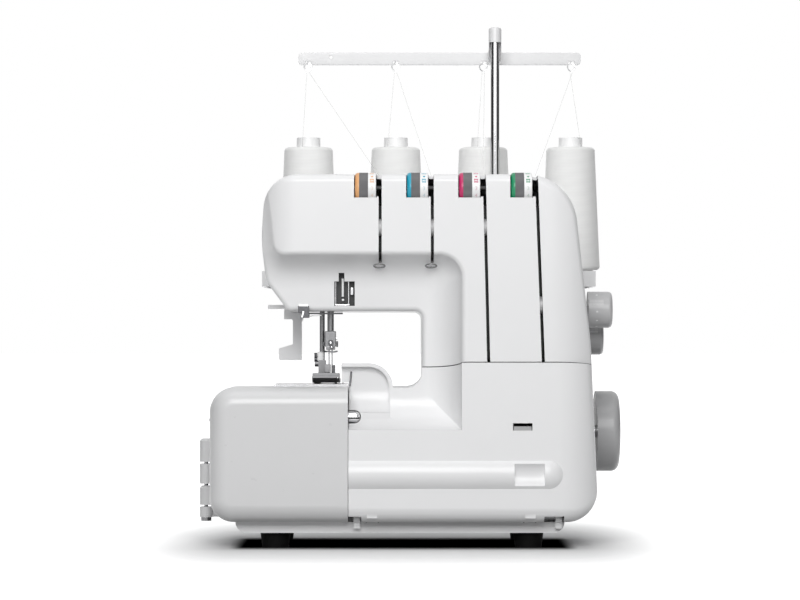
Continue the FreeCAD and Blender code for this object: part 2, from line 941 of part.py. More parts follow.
def make_hinges():
    rod = rod_x(lug_places[0], lug_places[1] + lug_width, hinge_depth, hinge_height, hinge_rod_radius)
    pieces["hinge_pins"] = Part.Compound([rod, make_side_hinge()])
    sleeves = []
    for place in ear_places:
        left = place - sleeve_collar
        right = place + ear_width + sleeve_collar
        body = rod_x(left, right, hinge_depth, hinge_height, hinge_rod_radius + sleeve_wall)
        far_side = place + ear_width + sleeve_collar_gap
        for start, end in ((left, place - sleeve_collar_gap), (far_side, right)):
            body = body.fuse(rod_x(start, end, hinge_depth, hinge_height,
                                   hinge_rod_radius + sleeve_wall + ear_wall))
        bore = rod_x(left - over, right + over, hinge_depth, hinge_height, hinge_rod_radius + slide_gap)
        sleeves.append(body.cut(bore))
    pieces["cover_sleeves"] = Part.Compound(sleeves)


def knuckle_spans():
    spans = []
    low = knuckle_bottom
    for height in knuckle_heights:
        spans.append((low, low + height))
        low += height + knuckle_gap
    return spans


def make_cloth_plate_cover():
    right = cover_split_x - seam_gap / 2

    def shape(inset, back):
        corners = [
            (box_left + inset, box_top - inset, box_top_corner - inset),
            (box_left + inset, skirt_height + inset, box_low_corner - inset),
            (right + (beyond if inset else 0), skirt_height + inset, 0),
            (right + (beyond if inset else 0), box_top - inset, 0),
        ]
        solid = front_prism(corners, inset, back)
        return front_edge_rounded(solid, box_edge_round - inset, right - over, box_top - inset, inset)

    cover = shape(0, box_depth).cut(shape(wall, box_depth + beyond))
    cover = cover.cut(block(plate_left - plate_notch_gap, right + over, plate_notch_depth, box_depth + over,
                            box_top - 2 * wall, box_top + over))
    nub = Part.makeSphere(nub_radius, vec(box_left, front_y + nub_depth, nub_height))
    moving = [nub]
    for bottom, top in knuckle_spans()[1::2]:
        slope = top - knuckle_radius / 3
        moving.append(rod_z(bottom, slope, knuckle_x, knuckle_depth, knuckle_radius))
        moving.append(taper_z(slope, top, knuckle_x, knuckle_depth, knuckle_radius, knuckle_radius * 2 / 3))
        moving.append(block(knuckle_x, box_left + wall, knuckle_depth - knuckle_radius,
                            knuckle_depth - knuckle_radius + knuckle_leaf, bottom, slope))
    cover = cover.fuse(moving)
    inside = block(box_left + wall, box_left + beyond, box_edge_round, box_depth + beyond,
                   skirt_height + box_low_corner, box_top - box_top_corner)
    bore = rod_z(0, box_top, knuckle_x, knuckle_depth, pin_radius + slide_gap)
    pieces["cloth_plate_cover"] = cover.cut([bore, inside]).removeSplitter()


def make_side_hinge():
    spans = knuckle_spans()
    back = knuckle_depth + knuckle_radius
    fixed = [block(bed_left - wall, bed_left, back - knuckle_leaf, back + 3 * knuckle_radius,
                   spans[0][0], spans[2][1])]
    for bottom, top in spans[0::2]:
        fixed.append(rod_z(bottom, top, knuckle_x, knuckle_depth, knuckle_radius))
        fixed.append(block(knuckle_x, bed_left, back - knuckle_leaf, back, bottom, top))
    pieces["side_hinge"] = fuse(fixed).cut(rod_z(0, box_top, knuckle_x, knuckle_depth, pin_radius))
    pin = rod_z(knuckle_bottom - pin_head_height, spans[3][1] - 1, knuckle_x, knuckle_depth, pin_radius)
    head = rod_z(knuckle_bottom - pin_head_height, knuckle_bottom, knuckle_x, knuckle_depth, pin_head_radius)
    return fuse([pin, head])


def make_base():
    corners = [
        (pan_left, pan_top(), 0),
        (pan_left, foot_height, pan_corner),
        (pan_right, foot_height, pan_corner),
        (pan_right, pan_top(), 0),
    ]
    pan = front_prism(corners, pan_depth, pan_back)
    inner = [
        (pan_left + pan_wall, pan_top() + over, 0),
        (pan_left + pan_wall, foot_height + pan_wall, pan_corner - pan_wall),
        (pan_right - pan_wall, foot_height + pan_wall, pan_corner - pan_wall),
        (pan_right - pan_wall, pan_top() + over, 0),
    ]
    pan = pan.cut(front_prism(inner, pan_depth + pan_wall, pan_back - pan_wall))
    lugs = []
    lug_half = hinge_rod_radius + wall
    for place in lug_places:
        lugs.append(rod_x(place, place + lug_width, hinge_depth, hinge_height, lug_half))
        lugs.append(block(place, place + lug_width, hinge_depth, pan_depth + pan_wall,
                          pan_top() - 2 * wall, hinge_height + lug_half))
    bores = [rod_x(place - over, place + lug_width + over, hinge_depth, hinge_height, hinge_rod_radius)
             for place in lug_places]
    pieces["base_pan"] = pan.fuse(lugs).cut(bores).removeSplitter()
    pieces["rubber_feet"] = Part.Compound([
        taper_z(0, foot_height, x, depth, foot_radius - foot_taper, foot_radius)
        for x in foot_places_x for depth in foot_places_depth])


def floor_z():
    return pan_top() + wall


def make_frame():
    base_top = floor_z() + frame_base
    spine_back = frame_spine_depth + frame_plate
    solids = [
        block(frame_left, frame_right, frame_front, frame_back, floor_z(), base_top),
        block(frame_left, frame_column_left + frame_plate, frame_front, frame_front + frame_plate,
              floor_z(), bed_height - 2 * wall - seam_gap),
        block(plate_left + 2 * wall, knife_x - 2 * wall, frame_front + frame_plate, plate_back,
              bed_height - 6 * wall, plate_bottom),
        block(frame_column_left, frame_column_right, frame_spine_depth, spine_back,
              shaft_height + bearing_radius + wall, frame_top),
        block(frame_left, frame_column_left, frame_spine_depth, spine_back, guide_low_bottom, frame_top),
    ]
    for place in bearing_places:
        solids.append(block(place, place + bearing_width, shaft_depth - bearing_block * bearing_radius,
                            spine_back, floor_z(), shaft_height + bearing_block * bearing_radius))
    for bottom in (guide_low_bottom, guide_high_bottom):
        solids.append(block(presser_x - guide_margin, needle_x + guide_margin,
                            needle_depth - guide_margin, frame_spine_depth, bottom, bottom + guide_thickness))
    for place in (needle_x + 3 * guide_margin, rocker_right - 2 * guide_margin):
        solids.append(block(place, place + guide_margin, rocker_depth - 2 * rocker_radius, frame_spine_depth,
                            rocker_height() - 2 * rocker_radius, rocker_height() + 2 * rocker_radius))
    solids.append(block(motor_left + wall, motor_right - wall, motor_depth - motor_radius / 2,
                        motor_depth + motor_radius / 2, base_top, motor_height - motor_radius / 2))
    lock_root = needle_x + wall
    solids.append(block(lock_root - 2 * wall, lock_root, lock_depth - lock_radius, frame_front,
                        lock_height - lock_radius, lock_height + lock_radius))
    knob_right = knob_shaft_left + frame_plate
    for depth, z in ((stitch_depth, stitch_height), (feed_dial_depth, feed_dial_height)):
        solids.append(block(frame_column_left, knob_right, frame_spine_depth, spine_back,
                            z - 2 * knob_shaft_radius, z + 2 * knob_shaft_radius))
        start = min(depth - 2 * knob_shaft_radius, frame_spine_depth)
        solids.append(block(knob_shaft_left, knob_right, start, spine_back,
                            z - 2 * knob_shaft_radius, z + 2 * knob_shaft_radius))
    frame = fuse(solids)
    bores = [
        rod_x(motor_left - over, motor_right + over, motor_depth, motor_height, motor_radius),
        rod_z(head_bottom, body_top, needle_x, needle_depth, needle_bar_radius + slide_gap),
        rod_z(head_bottom, body_top, presser_x, presser_depth, presser_bar_radius + slide_gap),
        rod_x(needle_x, rocker_right + beyond, rocker_depth, rocker_height(), rocker_radius + slide_gap),
    ]
    bores += [rod_x(place - over, place + bearing_width + over, shaft_depth, shaft_height,
                    bearing_radius) for place in bearing_places]
    for x, z in ((lower_looper_x, lower_looper_height), (upper_looper_x, upper_looper_height)):
        bores.append(rod_y(frame_front - over, frame_front + beyond, x, z, looper_shaft_radius + slide_gap))
    for depth, z in ((stitch_depth, stitch_height), (feed_dial_depth, feed_dial_height)):
        bores.append(rod_x(knob_shaft_left, wheel_outer_x, depth, z, knob_shaft_radius + slide_gap))
    pieces["main_frame"] = frame.cut(bores)
    pieces["cover_lock_stud"] = lock_stud(lock_root)


def lock_stud(root):
    tip = cover_split_x + lock_reach
    stud = rod_x(root, tip, lock_depth, lock_height, lock_radius)
    return rounded_end(stud, lock_radius * lock_tip_share, vec(tip, front_y + lock_depth, lock_height))


def rocker_height():
    return rocker_pin_height - needle_stroke / 2


def make_needle_works():
    bar = rod_z(clamp_bottom + wall, needle_bar_top, needle_x, needle_depth, needle_bar_radius)
    pin_right = needle_x + needle_bar_radius + rocker_lever_gap + rocker_lever_width
    pin = rod_x(needle_x, pin_right, needle_depth, rocker_pin_height, rocker_pin_radius)
    pieces["needle_bar"] = fuse([bar, pin])
    clamp = block(needle_x - clamp_half_width, needle_x + clamp_half_width,
                  needle_depth - clamp_half_depth, needle_depth + clamp_half_depth, clamp_bottom, clamp_top)
    lip = block(needle_x + clamp_half_width, needle_x + clamp_half_width + clamp_lip,
                needle_depth - clamp_half_depth, needle_depth, clamp_bottom + clamp_lip,
                clamp_bottom + 2 * clamp_lip)
    clamp = clamp.fuse(lip)
    clamp = clamp.cut(rod_z(clamp_bottom + wall, clamp_top + over, needle_x, needle_depth, needle_bar_radius))
    screws = []
    for rise in clamp_screw_rises:
        z = clamp_bottom + rise
        front = needle_depth - clamp_half_depth
        screws.append(rod_y(front - clamp_lip, front, needle_x + clamp_lip / 2, z, clamp_screw_radius))
    clamp = clamp.fuse(screws)
    needles = []
    for shift in (-needle_spacing / 2, needle_spacing / 2):
        tip = 6 * needle_radius
        stem = rod_z(needle_tip + tip, clamp_bottom, needle_x + shift, needle_depth, needle_radius)
        point = taper_z(needle_tip, needle_tip + tip, needle_x + shift, needle_depth,
                        needle_radius / 4, needle_radius)
        needles.append(fuse([stem, point]))
    pieces["needle_clamp"] = clamp
    pieces["needles"] = Part.Compound(needles)


def make_rocker():
    left = needle_x + needle_bar_radius + rocker_lever_gap
    right = left + rocker_lever_width
    shaft = rod_x(left, rocker_right, rocker_depth, rocker_height(), rocker_radius)
    reach = rocker_depth - needle_depth + rocker_fork
    hub = 2 * rocker_radius
    lever = block(left, right, rocker_depth - reach, rocker_depth,
                  rocker_height() - rocker_fork, rocker_height() + rocker_fork)
    lever = lever.fuse(rod_x(left, right, rocker_depth, rocker_height(), hub))
    half = rocker_pin_radius + rocker_fork_clear
    mouth = block(left - over, right + over, rocker_depth - reach - over, needle_depth + 2 * rocker_fork,
                  rocker_height() - half, rocker_height() + half)
    lever = lever.cut(mouth)
    rise = math.degrees(math.atan(needle_stroke / 2 / (rocker_depth - needle_depth)))
    lever.rotate(vec(0, front_y + rocker_depth, rocker_height()), vec(1, 0, 0), -rise)
    pieces["rocker_shaft"] = fuse([shaft, lever])


def make_presser_works():
    bar = rod_z(ankle_top - wall, presser_bar_top, presser_x, presser_depth, presser_bar_radius)
    collar_top = guide_high_bottom - 2 * guide_margin
    collar = rod_z(collar_top - wall, collar_top, presser_x, presser_depth, 2 * presser_bar_radius)
    pieces["presser_bar"] = fuse([bar, collar])
    spring = rod_z(collar_top, guide_high_bottom, presser_x, presser_depth, 2 * presser_bar_radius)
    bore = rod_z(collar_top - over, guide_high_bottom + over, presser_x, presser_depth,
                 presser_bar_radius + slide_gap)
    pieces["presser_spring"] = spring.cut(bore)
    toe = foot_front + 2 * foot_toe_rise
    sole_top = foot_sole + foot_sole_thickness
    profile = [
        (toe, foot_sole, 3 * foot_toe_rise),
        (foot_front, foot_sole + foot_toe_rise, 0),
        (foot_front, foot_sole + foot_toe_rise + foot_sole_thickness / 2, 0),
        (toe + foot_toe_rise, sole_top, 0),
        (foot_back, sole_top, 0),
        (foot_back, foot_sole, 0),
    ]
    foot = side_prism(profile, foot_left, foot_right)
    hook = 2 * needle_spacing + needle_radius
    wing = block(foot_left, needle_x - hook, needle_depth + clamp_half_depth + wall, foot_back,
                 foot_sole, foot_wall_top)
    brow = block(foot_left, foot_right, toe + foot_toe_rise, needle_depth - clamp_half_depth - wall,
                 foot_sole, foot_wall_top)
    stem = block(presser_x - ankle_half_width, presser_x + ankle_half_width, presser_depth - ankle_depth / 2,
                 presser_depth + ankle_depth / 2, foot_sole, ankle_top)
    screw = rod_x(presser_x - 2 * ankle_half_width, presser_x - ankle_half_width, presser_depth,
                  ankle_top - foot_screw_radius, foot_screw_radius)
    foot = foot.fuse([wing, brow, stem, screw])
    slots = [
        block(needle_x - hook, needle_x + hook, needle_depth - hook, needle_depth + hook,
              foot_sole - over, foot_wall_top + over),
        rod_z(ankle_top - wall, ankle_top + over, presser_x, presser_depth, presser_bar_radius),
        block(needle_x + hook, needle_x + hook + foot_slit, foot_front - over, needle_depth,
              foot_sole - over, foot_wall_top + over),
    ]
    pieces["presser_foot"] = foot.cut(slots)


def feed_rows():
    left = needle_x - feed_row_gap
    right = needle_x + feed_row_gap / 2
    return ((left - feed_row_width, left), (right - feed_edge_half, right + feed_edge_half))


def make_plate_and_feed():
    top = plate_top
    plate = block(plate_left, plate_right, plate_notch_depth + plate_notch_gap, plate_back, plate_bottom, top)
    base_top = plate_bottom - 2 * wall - feed_bar_gap
    rows = []
    tools = []
    for left, right in feed_rows():
        row = block(left, right, feed_front, feed_back, base_top, top)
        pitch = (feed_back - feed_front) / feed_teeth
        for tooth in range(feed_teeth):
            start = feed_front + tooth * pitch
            profile = [(start, top, 0), (start + pitch, top, 0), (start + pitch, top + feed_tooth_rise, 0)]
            row = row.fuse(side_prism(profile, left, right))
        rows.append(row)
        tools.append(block(left - feed_clear, right + feed_clear, feed_front - feed_clear - feed_travel,
                           feed_back + feed_clear + feed_travel, plate_bottom - beyond, top + over))
    rows.append(block(feed_rows()[0][0], feed_rows()[1][1], feed_front, needle_depth - 2 * needle_spacing,
                      base_top - wall, base_top))
    tools.append(block(needle_x - 2 * needle_spacing, needle_x + needle_spacing,
                       needle_depth - needle_spacing, needle_depth + needle_spacing,
                       plate_bottom - over, top + over))
    tools.append(block(knife_x - knife_thickness, knife_x + knife_thickness + feed_clear,
                       knife_front - feed_clear, knife_back + feed_clear,
                       plate_bottom - over, top + over))
    pieces["needle_plate"] = plate.cut(tools)
    pieces["feed_dog"] = fuse(rows)
    pieces["main_frame"] = pieces["main_frame"].cut(tools[:2])


def make_knives():
    blade = block(knife_x, knife_x + knife_thickness, knife_front, knife_back, knife_bottom, knife_top)
    bevel = [
        (knife_front - over, knife_top - knife_bevel, 0),
        (knife_back + over, knife_top + knife_bevel_back, 0),
        (knife_front - over, knife_top + knife_bevel_back, 0),
    ]
    edge = side_prism(bevel, knife_x - over, knife_x + knife_thickness + over)
    carrier = block(knife_x, knife_x + 4 * knife_thickness, knife_front, frame_front - slide_gap,
                    knife_bottom, knife_bottom + 4 * wall)
    pieces["upper_knife"] = fuse([blade.cut(edge), carrier])
    low = knife_bottom + 4 * wall + knife_travel + wall
    lower = block(knife_x - knife_thickness, knife_x - slide_gap, knife_front, knife_back,
                  low, plate_top)
    arm = block(knife_x - knife_thickness, knife_x - slide_gap, knife_back, frame_front,
                low, low + 4 * wall)
    pieces["lower_knife"] = fuse([lower, arm])


def looper(x, z, depth, finger_side):
    """Lever on its own shaft, with a finger that reaches sideways at its tip."""
    back = depth + looper_thickness
    half = looper_arm_width / 2
    hub = rod_y(depth, back, x, z, looper_hub_radius)
    arm = block(x - half, x + half, depth, back, z, looper_tip_height)
    reach = finger_side * (looper_finger + half)
    finger = [
        (x, looper_tip_height - looper_finger_height, 0),
        (x, looper_tip_height, 0),
        (x + reach, looper_tip_height - looper_finger_height / 3, 0),
        (x + reach, looper_tip_height - looper_finger_height * 2 / 3, 0),
    ]
    finger = front_prism(finger, depth + looper_thickness / 4, back - looper_thickness / 4)
    shaft = rod_y(depth, frame_front + 2 * frame_plate, x, z, looper_shaft_radius)
    return fuse([hub, arm, finger, shaft])


def make_drive():
    shaft = rod_x(shaft_left, wheel_outer_x - 2 * wall, shaft_depth, shaft_height, shaft_radius)
    for place, side in zip(eccentric_places, (1, -1)):
        disc = rod_x(place, place + eccentric_width, shaft_depth, shaft_height + side * eccentric_throw,
                     eccentric_radius)
        shaft = shaft.fuse(disc)
    pieces["main_shaft"] = shaft.removeSplitter()
    rings = []
    for place in bearing_places:
        ring = rod_x(place, place + bearing_width, shaft_depth, shaft_height, bearing_radius)
        rings.append(ring.cut(rod_x(place - over, place + bearing_width + over, shaft_depth, shaft_height,
                                    shaft_radius + slide_gap)))
    pieces["shaft_bearings"] = Part.Compound(rings)
    wheel = rod_x(wheel_inner_x, wheel_outer_x, shaft_depth, shaft_height, wheel_radius)
    centre = vec(wheel_outer_x, front_y + shaft_depth, shaft_height)
    wheel = rounded_end(wheel, wheel_round, centre)
    dish_radius = wheel_radius - 2 * wheel_round
    dish = Part.makeCone(dish_radius, dish_radius - wheel_dish, wheel_dish, centre, vec(-1, 0, 0))
    bore = rod_x(wheel_inner_x - over, wheel_outer_x - 2 * wall, shaft_depth, shaft_height, shaft_radius)
    pieces["handwheel"] = wheel.cut([dish, bore])

    def pulley(depth, z, radius, bore_radius):
        body = rod_x(pulley_x, pulley_x + pulley_width, depth, z, radius)
        for start in (pulley_x - pulley_flange / 2, pulley_x + pulley_width):
            body = body.fuse(rod_x(start, start + pulley_flange / 2, depth, z, radius + pulley_flange))
        return body.cut(rod_x(pulley_x - beyond, pulley_x + beyond, depth, z, bore_radius))

    pieces["shaft_pulley"] = pulley(shaft_depth, shaft_height, pulley_radius, shaft_radius)
    rotor = rod_x(motor_right, pulley_x + pulley_width + rotor_reach, motor_depth, motor_height,
                  motor_shaft_radius)
    pieces["motor_pulley"] = fuse([pulley(motor_depth, motor_height, motor_pulley_radius,
                                          motor_shaft_radius), rotor])
    motor = rod_x(motor_left, motor_right - 4 * wall, motor_depth, motor_height, motor_radius)
    nose = rod_x(motor_right - 4 * wall, motor_right - seam_gap, motor_depth, motor_height, motor_radius / 2)
    pieces["motor"] = fuse([motor, nose])
    pieces["drive_belt"] = drive_belt()


def drive_belt():
    """Flat belt round both pulleys: the difference of two tangent loops."""
    def loop(grow):
        big = pulley_radius + grow
        small = motor_pulley_radius + grow
        span = vec(motor_depth - shaft_depth, motor_height - shaft_height, 0)
        along = math.atan2(span.y, span.x)
        open_angle = math.acos((big - small) / span.Length)
        left = pulley_x + belt_margin
        right = pulley_x + pulley_width - belt_margin
        hull = [
            rod_x(left, right, shaft_depth, shaft_height, big),
            rod_x(left, right, motor_depth, motor_height, small),
        ]
        quad = []
        for turn, radius, depth, z in ((open_angle, big, shaft_depth, shaft_height),
                                       (open_angle, small, motor_depth, motor_height),
                                       (-open_angle, small, motor_depth, motor_height),
                                       (-open_angle, big, shaft_depth, shaft_height)):
            quad.append((depth + radius * math.cos(along + turn), z + radius * math.sin(along + turn), 0))
        hull.append(side_prism(quad, left, right))
        return fuse(hull)

    return loop(belt_gap + belt_thickness).cut(loop(belt_gap))


def make_dials():
    for index in range(dial_count):
        left = dial_x(index)
        name = str(index + 1)
        axle = dial_axle_radius + slide_gap
        cap = rod_x(left, left + dial_cap_width, dial_depth, dial_height, dial_radius)
        cap = rounded_end(cap, dial_cap_width / 4, vec(left, front_y + dial_depth, dial_height))
        hole = rod_x(left - over, left + 2 * dial_pitch / 3, dial_depth, dial_height, axle)
        pieces["tension_cap_" + name] = cap.cut(hole)
        right = left + dial_cap_width + dial_wheel_width + dial_scale_width
        wheel = rod_x(left + dial_cap_width, right, dial_depth, dial_height, dial_radius)
        pieces["tension_dial_" + name] = wheel.cut(hole)
    first = dial_x(0) - dial_lug_gap - dial_lug_width
    last = dial_x(dial_count - 1) + dial_cap_width + dial_wheel_width + dial_scale_width
    pieces["dial_axle"] = rod_x(first, last, dial_depth, dial_height, dial_axle_radius)


def make_tension_units():
    channels = []
    units = []
    for index in range(dial_count):
        low = pocket_top + wall + channel_clear if index < short_slots else seam_z(0) + wall
        outer = slot_band(index, slot_width / 2 + channel_wall, low, channel_top, wall, wall + channel_depth)
        gap = slot_band(index, slot_width / 2, low - over, channel_top + over, 0, channel_depth)
        z = disc_heights[index]
        middle = slot_centre(index, z)
        post = rod_x(middle - slot_width / 2 - channel_wall, middle + slot_width / 2 + channel_wall,
                     disc_depth, z, disc_post_radius)
        channels.append(outer.cut([gap, post]))
        discs = []
        for side in (-1, 1):
            centre = middle + side * disc_thickness
            discs.append(rod_x(centre - disc_thickness / 2, centre + disc_thickness / 2, disc_depth, z,
                               disc_radius))
        units.append(fuse([post] + discs))
    pieces["thread_channels"] = Part.Compound(channels)
    pieces["tension_units"] = Part.Compound(units)


def wire_ring(x, depth, z, radius, wire, direction):
    return Part.makeTorus(radius, wire, vec(x, front_y + depth, z), direction)


def make_small_guides():
    rings = []
    for index in range(short_slots):
        x = slot_centre(index, slot_short_bottom)
        ring = wire_ring(x, ring_depth, ring_height, ring_radius, ring_wire, vec(0, 0, 1))
        rings.append(ring.cut(upper_body(0)))
    back = cove_depth + 3 * wall
    bracket = take_up_window(cove_depth + wall, back)
    hollow = block(take_up_left + take_up_bracket, take_up_right - take_up_bracket, cove_depth,
                   back - take_up_bracket, take_up_bottom + take_up_bracket, take_up_notch_top + over)
    post = rod_z(take_up_bottom, take_up_top, (take_up_left + take_up_right) / 2 - take_up_bracket,
                 back - 2 * take_up_bracket, take_up_bracket)
    rings.append(bracket.cut(hollow).fuse(post))
    top = head_bottom - slide_gap
    plate = block(under_plate_left, under_plate_right, under_plate_front, under_plate_back,
                  top - under_plate_thickness, top)
    clip = block(under_clip_left, under_clip_right, cove_depth - under_clip_thickness - slide_gap,
                 cove_depth - slide_gap, top - 3 * under_plate_thickness, under_clip_top)
    foot = block(under_clip_left, under_clip_right, cove_depth - under_clip_thickness - slide_gap,
                 under_plate_front + under_riser, top - 3 * under_plate_thickness,
                 top - 2 * under_plate_thickness)
    riser = block(under_plate_left, under_clip_right, under_plate_front, under_plate_front + under_riser,
                  top - 3 * under_plate_thickness, top)
    rings.append(fuse([plate, clip, foot, riser]))
    pieces["thread_guides"] = Part.Compound(rings)


def make_lifter():
    front = lifter_depth - lifter_thickness / 2
    back = lifter_depth + lifter_thickness / 2
    tab_right = lifter_x + lifter_half_width
    corners = [
        (lifter_x - lifter_half_width, lifter_pivot_height, 0),
        (lifter_x - lifter_half_width, lifter_tab_top + lifter_half_width, 0),
        (lifter_tab_left, lifter_tab_top, 0),
        (lifter_tab_left, lifter_bottom, lifter_tab_round),
        (tab_right, lifter_bottom, 0),
        (tab_right, lifter_pivot_height, 0),
    ]
    lever = front_prism(corners, front, back)
    hub = rod_y(front, back, lifter_x, lifter_pivot_height, lifter_hub_radius)
    pivot = rod_y(front, body_depth - 2 * wall, lifter_x, lifter_pivot_height, lifter_pivot_radius)
    pieces["presser_lifter"] = fuse([lever, hub, pivot])


def knob(x_0, x_1, depth, z, radius):
    body = rod_x(x_0, x_1, depth, z, radius)
    body = rounded_end(body, knob_round, vec(x_1, front_y + depth, z))
    shaft = rod_x(knob_shaft_left + wall, x_0, depth, z, knob_shaft_radius)
    return fuse([body, shaft])


def cone_x(index):
    return first_cone_x + index * cone_pitch


def make_stand():
    corners = [
        (stand_left, body_depth, 0),
        (stand_right, body_depth, 0),
        (stand_right, stand_back, stand_corner),
        (stand_left, stand_back, stand_corner),
    ]
    tray = plan_prism(corners, stand_bottom, stand_top)
    inner = [
        (stand_left + stand_wall, body_depth + stand_wall, 0),
        (stand_right - stand_wall, body_depth + stand_wall, 0),
        (stand_right - stand_wall, stand_back - stand_wall, stand_corner - stand_wall),
        (stand_left + stand_wall, stand_back - stand_wall, stand_corner - stand_wall),
    ]
    tray = tray.cut(plan_prism(inner, stand_bottom - over, stand_top - stand_wall))
    bosses = [rod_z(stand_bottom, stand_top, cone_x(index), cone_depth, 2 * spool_pin_radius)
              for index in range(cone_count)]
    bosses.append(rod_z(stand_bottom, stand_top, mast_x, mast_depth, mast_tube_radius + stand_wall))
    holes = [rod_z(stand_bottom - over, stand_top + over, cone_x(index), cone_depth, spool_pin_radius)
             for index in range(cone_count)]
    holes.append(rod_z(stand_bottom - over, stand_top + over, mast_x, mast_depth, mast_tube_radius))
    pieces["spool_stand"] = tray.fuse(bosses).cut(holes)


def cone_profile_radius(z):
    """Outside of the cone core, straight from its foot to its neck."""
    share = (z - cone_bottom) / (cone_neck_top - cone_bottom)
    return cone_foot_radius + (cone_neck_radius - cone_foot_radius) * share


def make_cones():
    pins = []
    holders = []
    cores = []
    packages = []
    for index in range(cone_count):
        x = cone_x(index)
        pins.append(rod_z(stand_bottom, spool_pin_top, x, cone_depth, spool_pin_radius))
        disc = rod_z(stand_top, cone_bottom, x, cone_depth, holder_radius)
        foot_inside = cone_profile_radius(cone_bottom) - cone_wall - slide_gap
        tip_inside = cone_profile_radius(cone_bottom + holder_height) - cone_wall - slide_gap
        plug = taper_z(cone_bottom, cone_bottom + holder_height, x, cone_depth, foot_inside, tip_inside)
        holders.append(fuse([disc, plug]).cut(
            rod_z(stand_top - over, spool_pin_top, x, cone_depth, spool_pin_radius)))
        core = taper_z(cone_bottom, cone_neck_top, x, cone_depth, cone_foot_radius, cone_neck_radius)
        bore = taper_z(cone_bottom, cone_neck_top, x, cone_depth, cone_foot_radius - cone_wall,
                       cone_neck_radius - cone_wall)
        cores.append(core.cut(bore))
        package = taper_z(cone_bottom, cone_shoulder, x, cone_depth, cone_base_radius, cone_top_radius)
        package = rounded_end(package, cone_edge_round, vec(x, front_y + cone_depth, cone_shoulder))
        package = rounded_end(package, cone_edge_round, vec(x, front_y + cone_depth, cone_bottom))
        packages.append(package.cut(core))
    pieces["spool_pins"] = Part.Compound(pins)
    pieces["cone_holders"] = Part.Compound(holders)
    pieces["cone_cores"] = Part.Compound(cores)
    pieces["thread_packages"] = Part.Compound(packages)


def make_mast():
    tube = rod_z(mast_tube_bottom, stand_top + mast_tube_rim, mast_x, mast_depth, mast_tube_radius)
    bore = rod_z(mast_tube_bottom + mast_tube_rim, stand_top + beyond, mast_x, mast_depth,
                 mast_radius + slide_gap)
    pieces["mast_tube"] = tube.cut(bore)
    pieces["mast_rod"] = rod_z(mast_bottom, mast_top, mast_x, mast_depth, mast_radius)
    cap = rod_z(mast_top, mast_top + cap_height, mast_x, mast_depth, cap_radius)
    cap = rounded_end(cap, cap_radius / 3, vec(mast_x, front_y + mast_depth, mast_top + cap_height))
    skirt = rod_z(mast_top - cap_skirt, mast_top, mast_x, mast_depth, cap_radius)
    skirt = skirt.cut(rod_z(mast_top - cap_skirt - over, mast_top + over, mast_x, mast_depth, mast_radius))
    bar_front = bar_depth - bar_thickness / 2
    front_half = block(mast_x - 2 * cap_radius, mast_x + 2 * cap_radius, mast_depth - 2 * cap_radius,
                       mast_depth - mast_radius / 2, mast_top - cap_skirt - over, mast_top)
    gusset = block(mast_x - cap_radius, mast_x + cap_radius, mast_depth + mast_radius, bar_front,
                   bar_bottom, bar_bottom + bar_height)
    corners = [
        (bar_left, bar_bottom, bar_height / 4),
        (bar_right, bar_bottom, bar_height / 4),
        (bar_right, bar_bottom + bar_height, bar_height / 4),
        (bar_left, bar_bottom + bar_height, bar_height / 4),
    ]
    bar = front_prism(corners, bar_front, bar_front + bar_thickness)
    eyelets = [wire_ring(x, bar_front - eyelet_wire / 2, eyelet_height, eyelet_radius, eyelet_wire,
                         vec(0, 1, 0)) for x in eyelet_x]
    pieces["thread_guide_bar"] = fuse([cap, skirt.cut(front_half), gusset, bar] + eyelets)


def straight_tube(start, end, radius):
    along = end - start
    return Part.makeCylinder(radius, along.Length, start, along)


def make_threads():
    runs = []
    for index in range(cone_count):
        ring_bottom = eyelet_height - eyelet_radius - eyelet_wire - thread_seat_gap - thread_radius
        ring_y = front_y + bar_depth - bar_thickness / 2 - eyelet_wire / 2
        turn = math.radians(thread_leave_turn[index])
        leave = vec(cone_x(index) + thread_leave_radius * math.sin(turn),
                    front_y + cone_depth - thread_leave_radius * math.cos(turn),
                    cone_shoulder + thread_seat_gap)
        runs.append(straight_tube(vec(eyelet_x[index] - 1, ring_y, ring_bottom), leave, thread_radius))
        entry = vec(slot_left(index) + slot_mouth_width / 2, front_y + thread_entry_depth,
                    body_top + thread_entry_lift - wall)
        runs.append(straight_tube(vec(eyelet_x[index] + 1, ring_y, ring_bottom), entry, thread_radius))
    pieces["thread_runs"] = Part.Compound(runs)


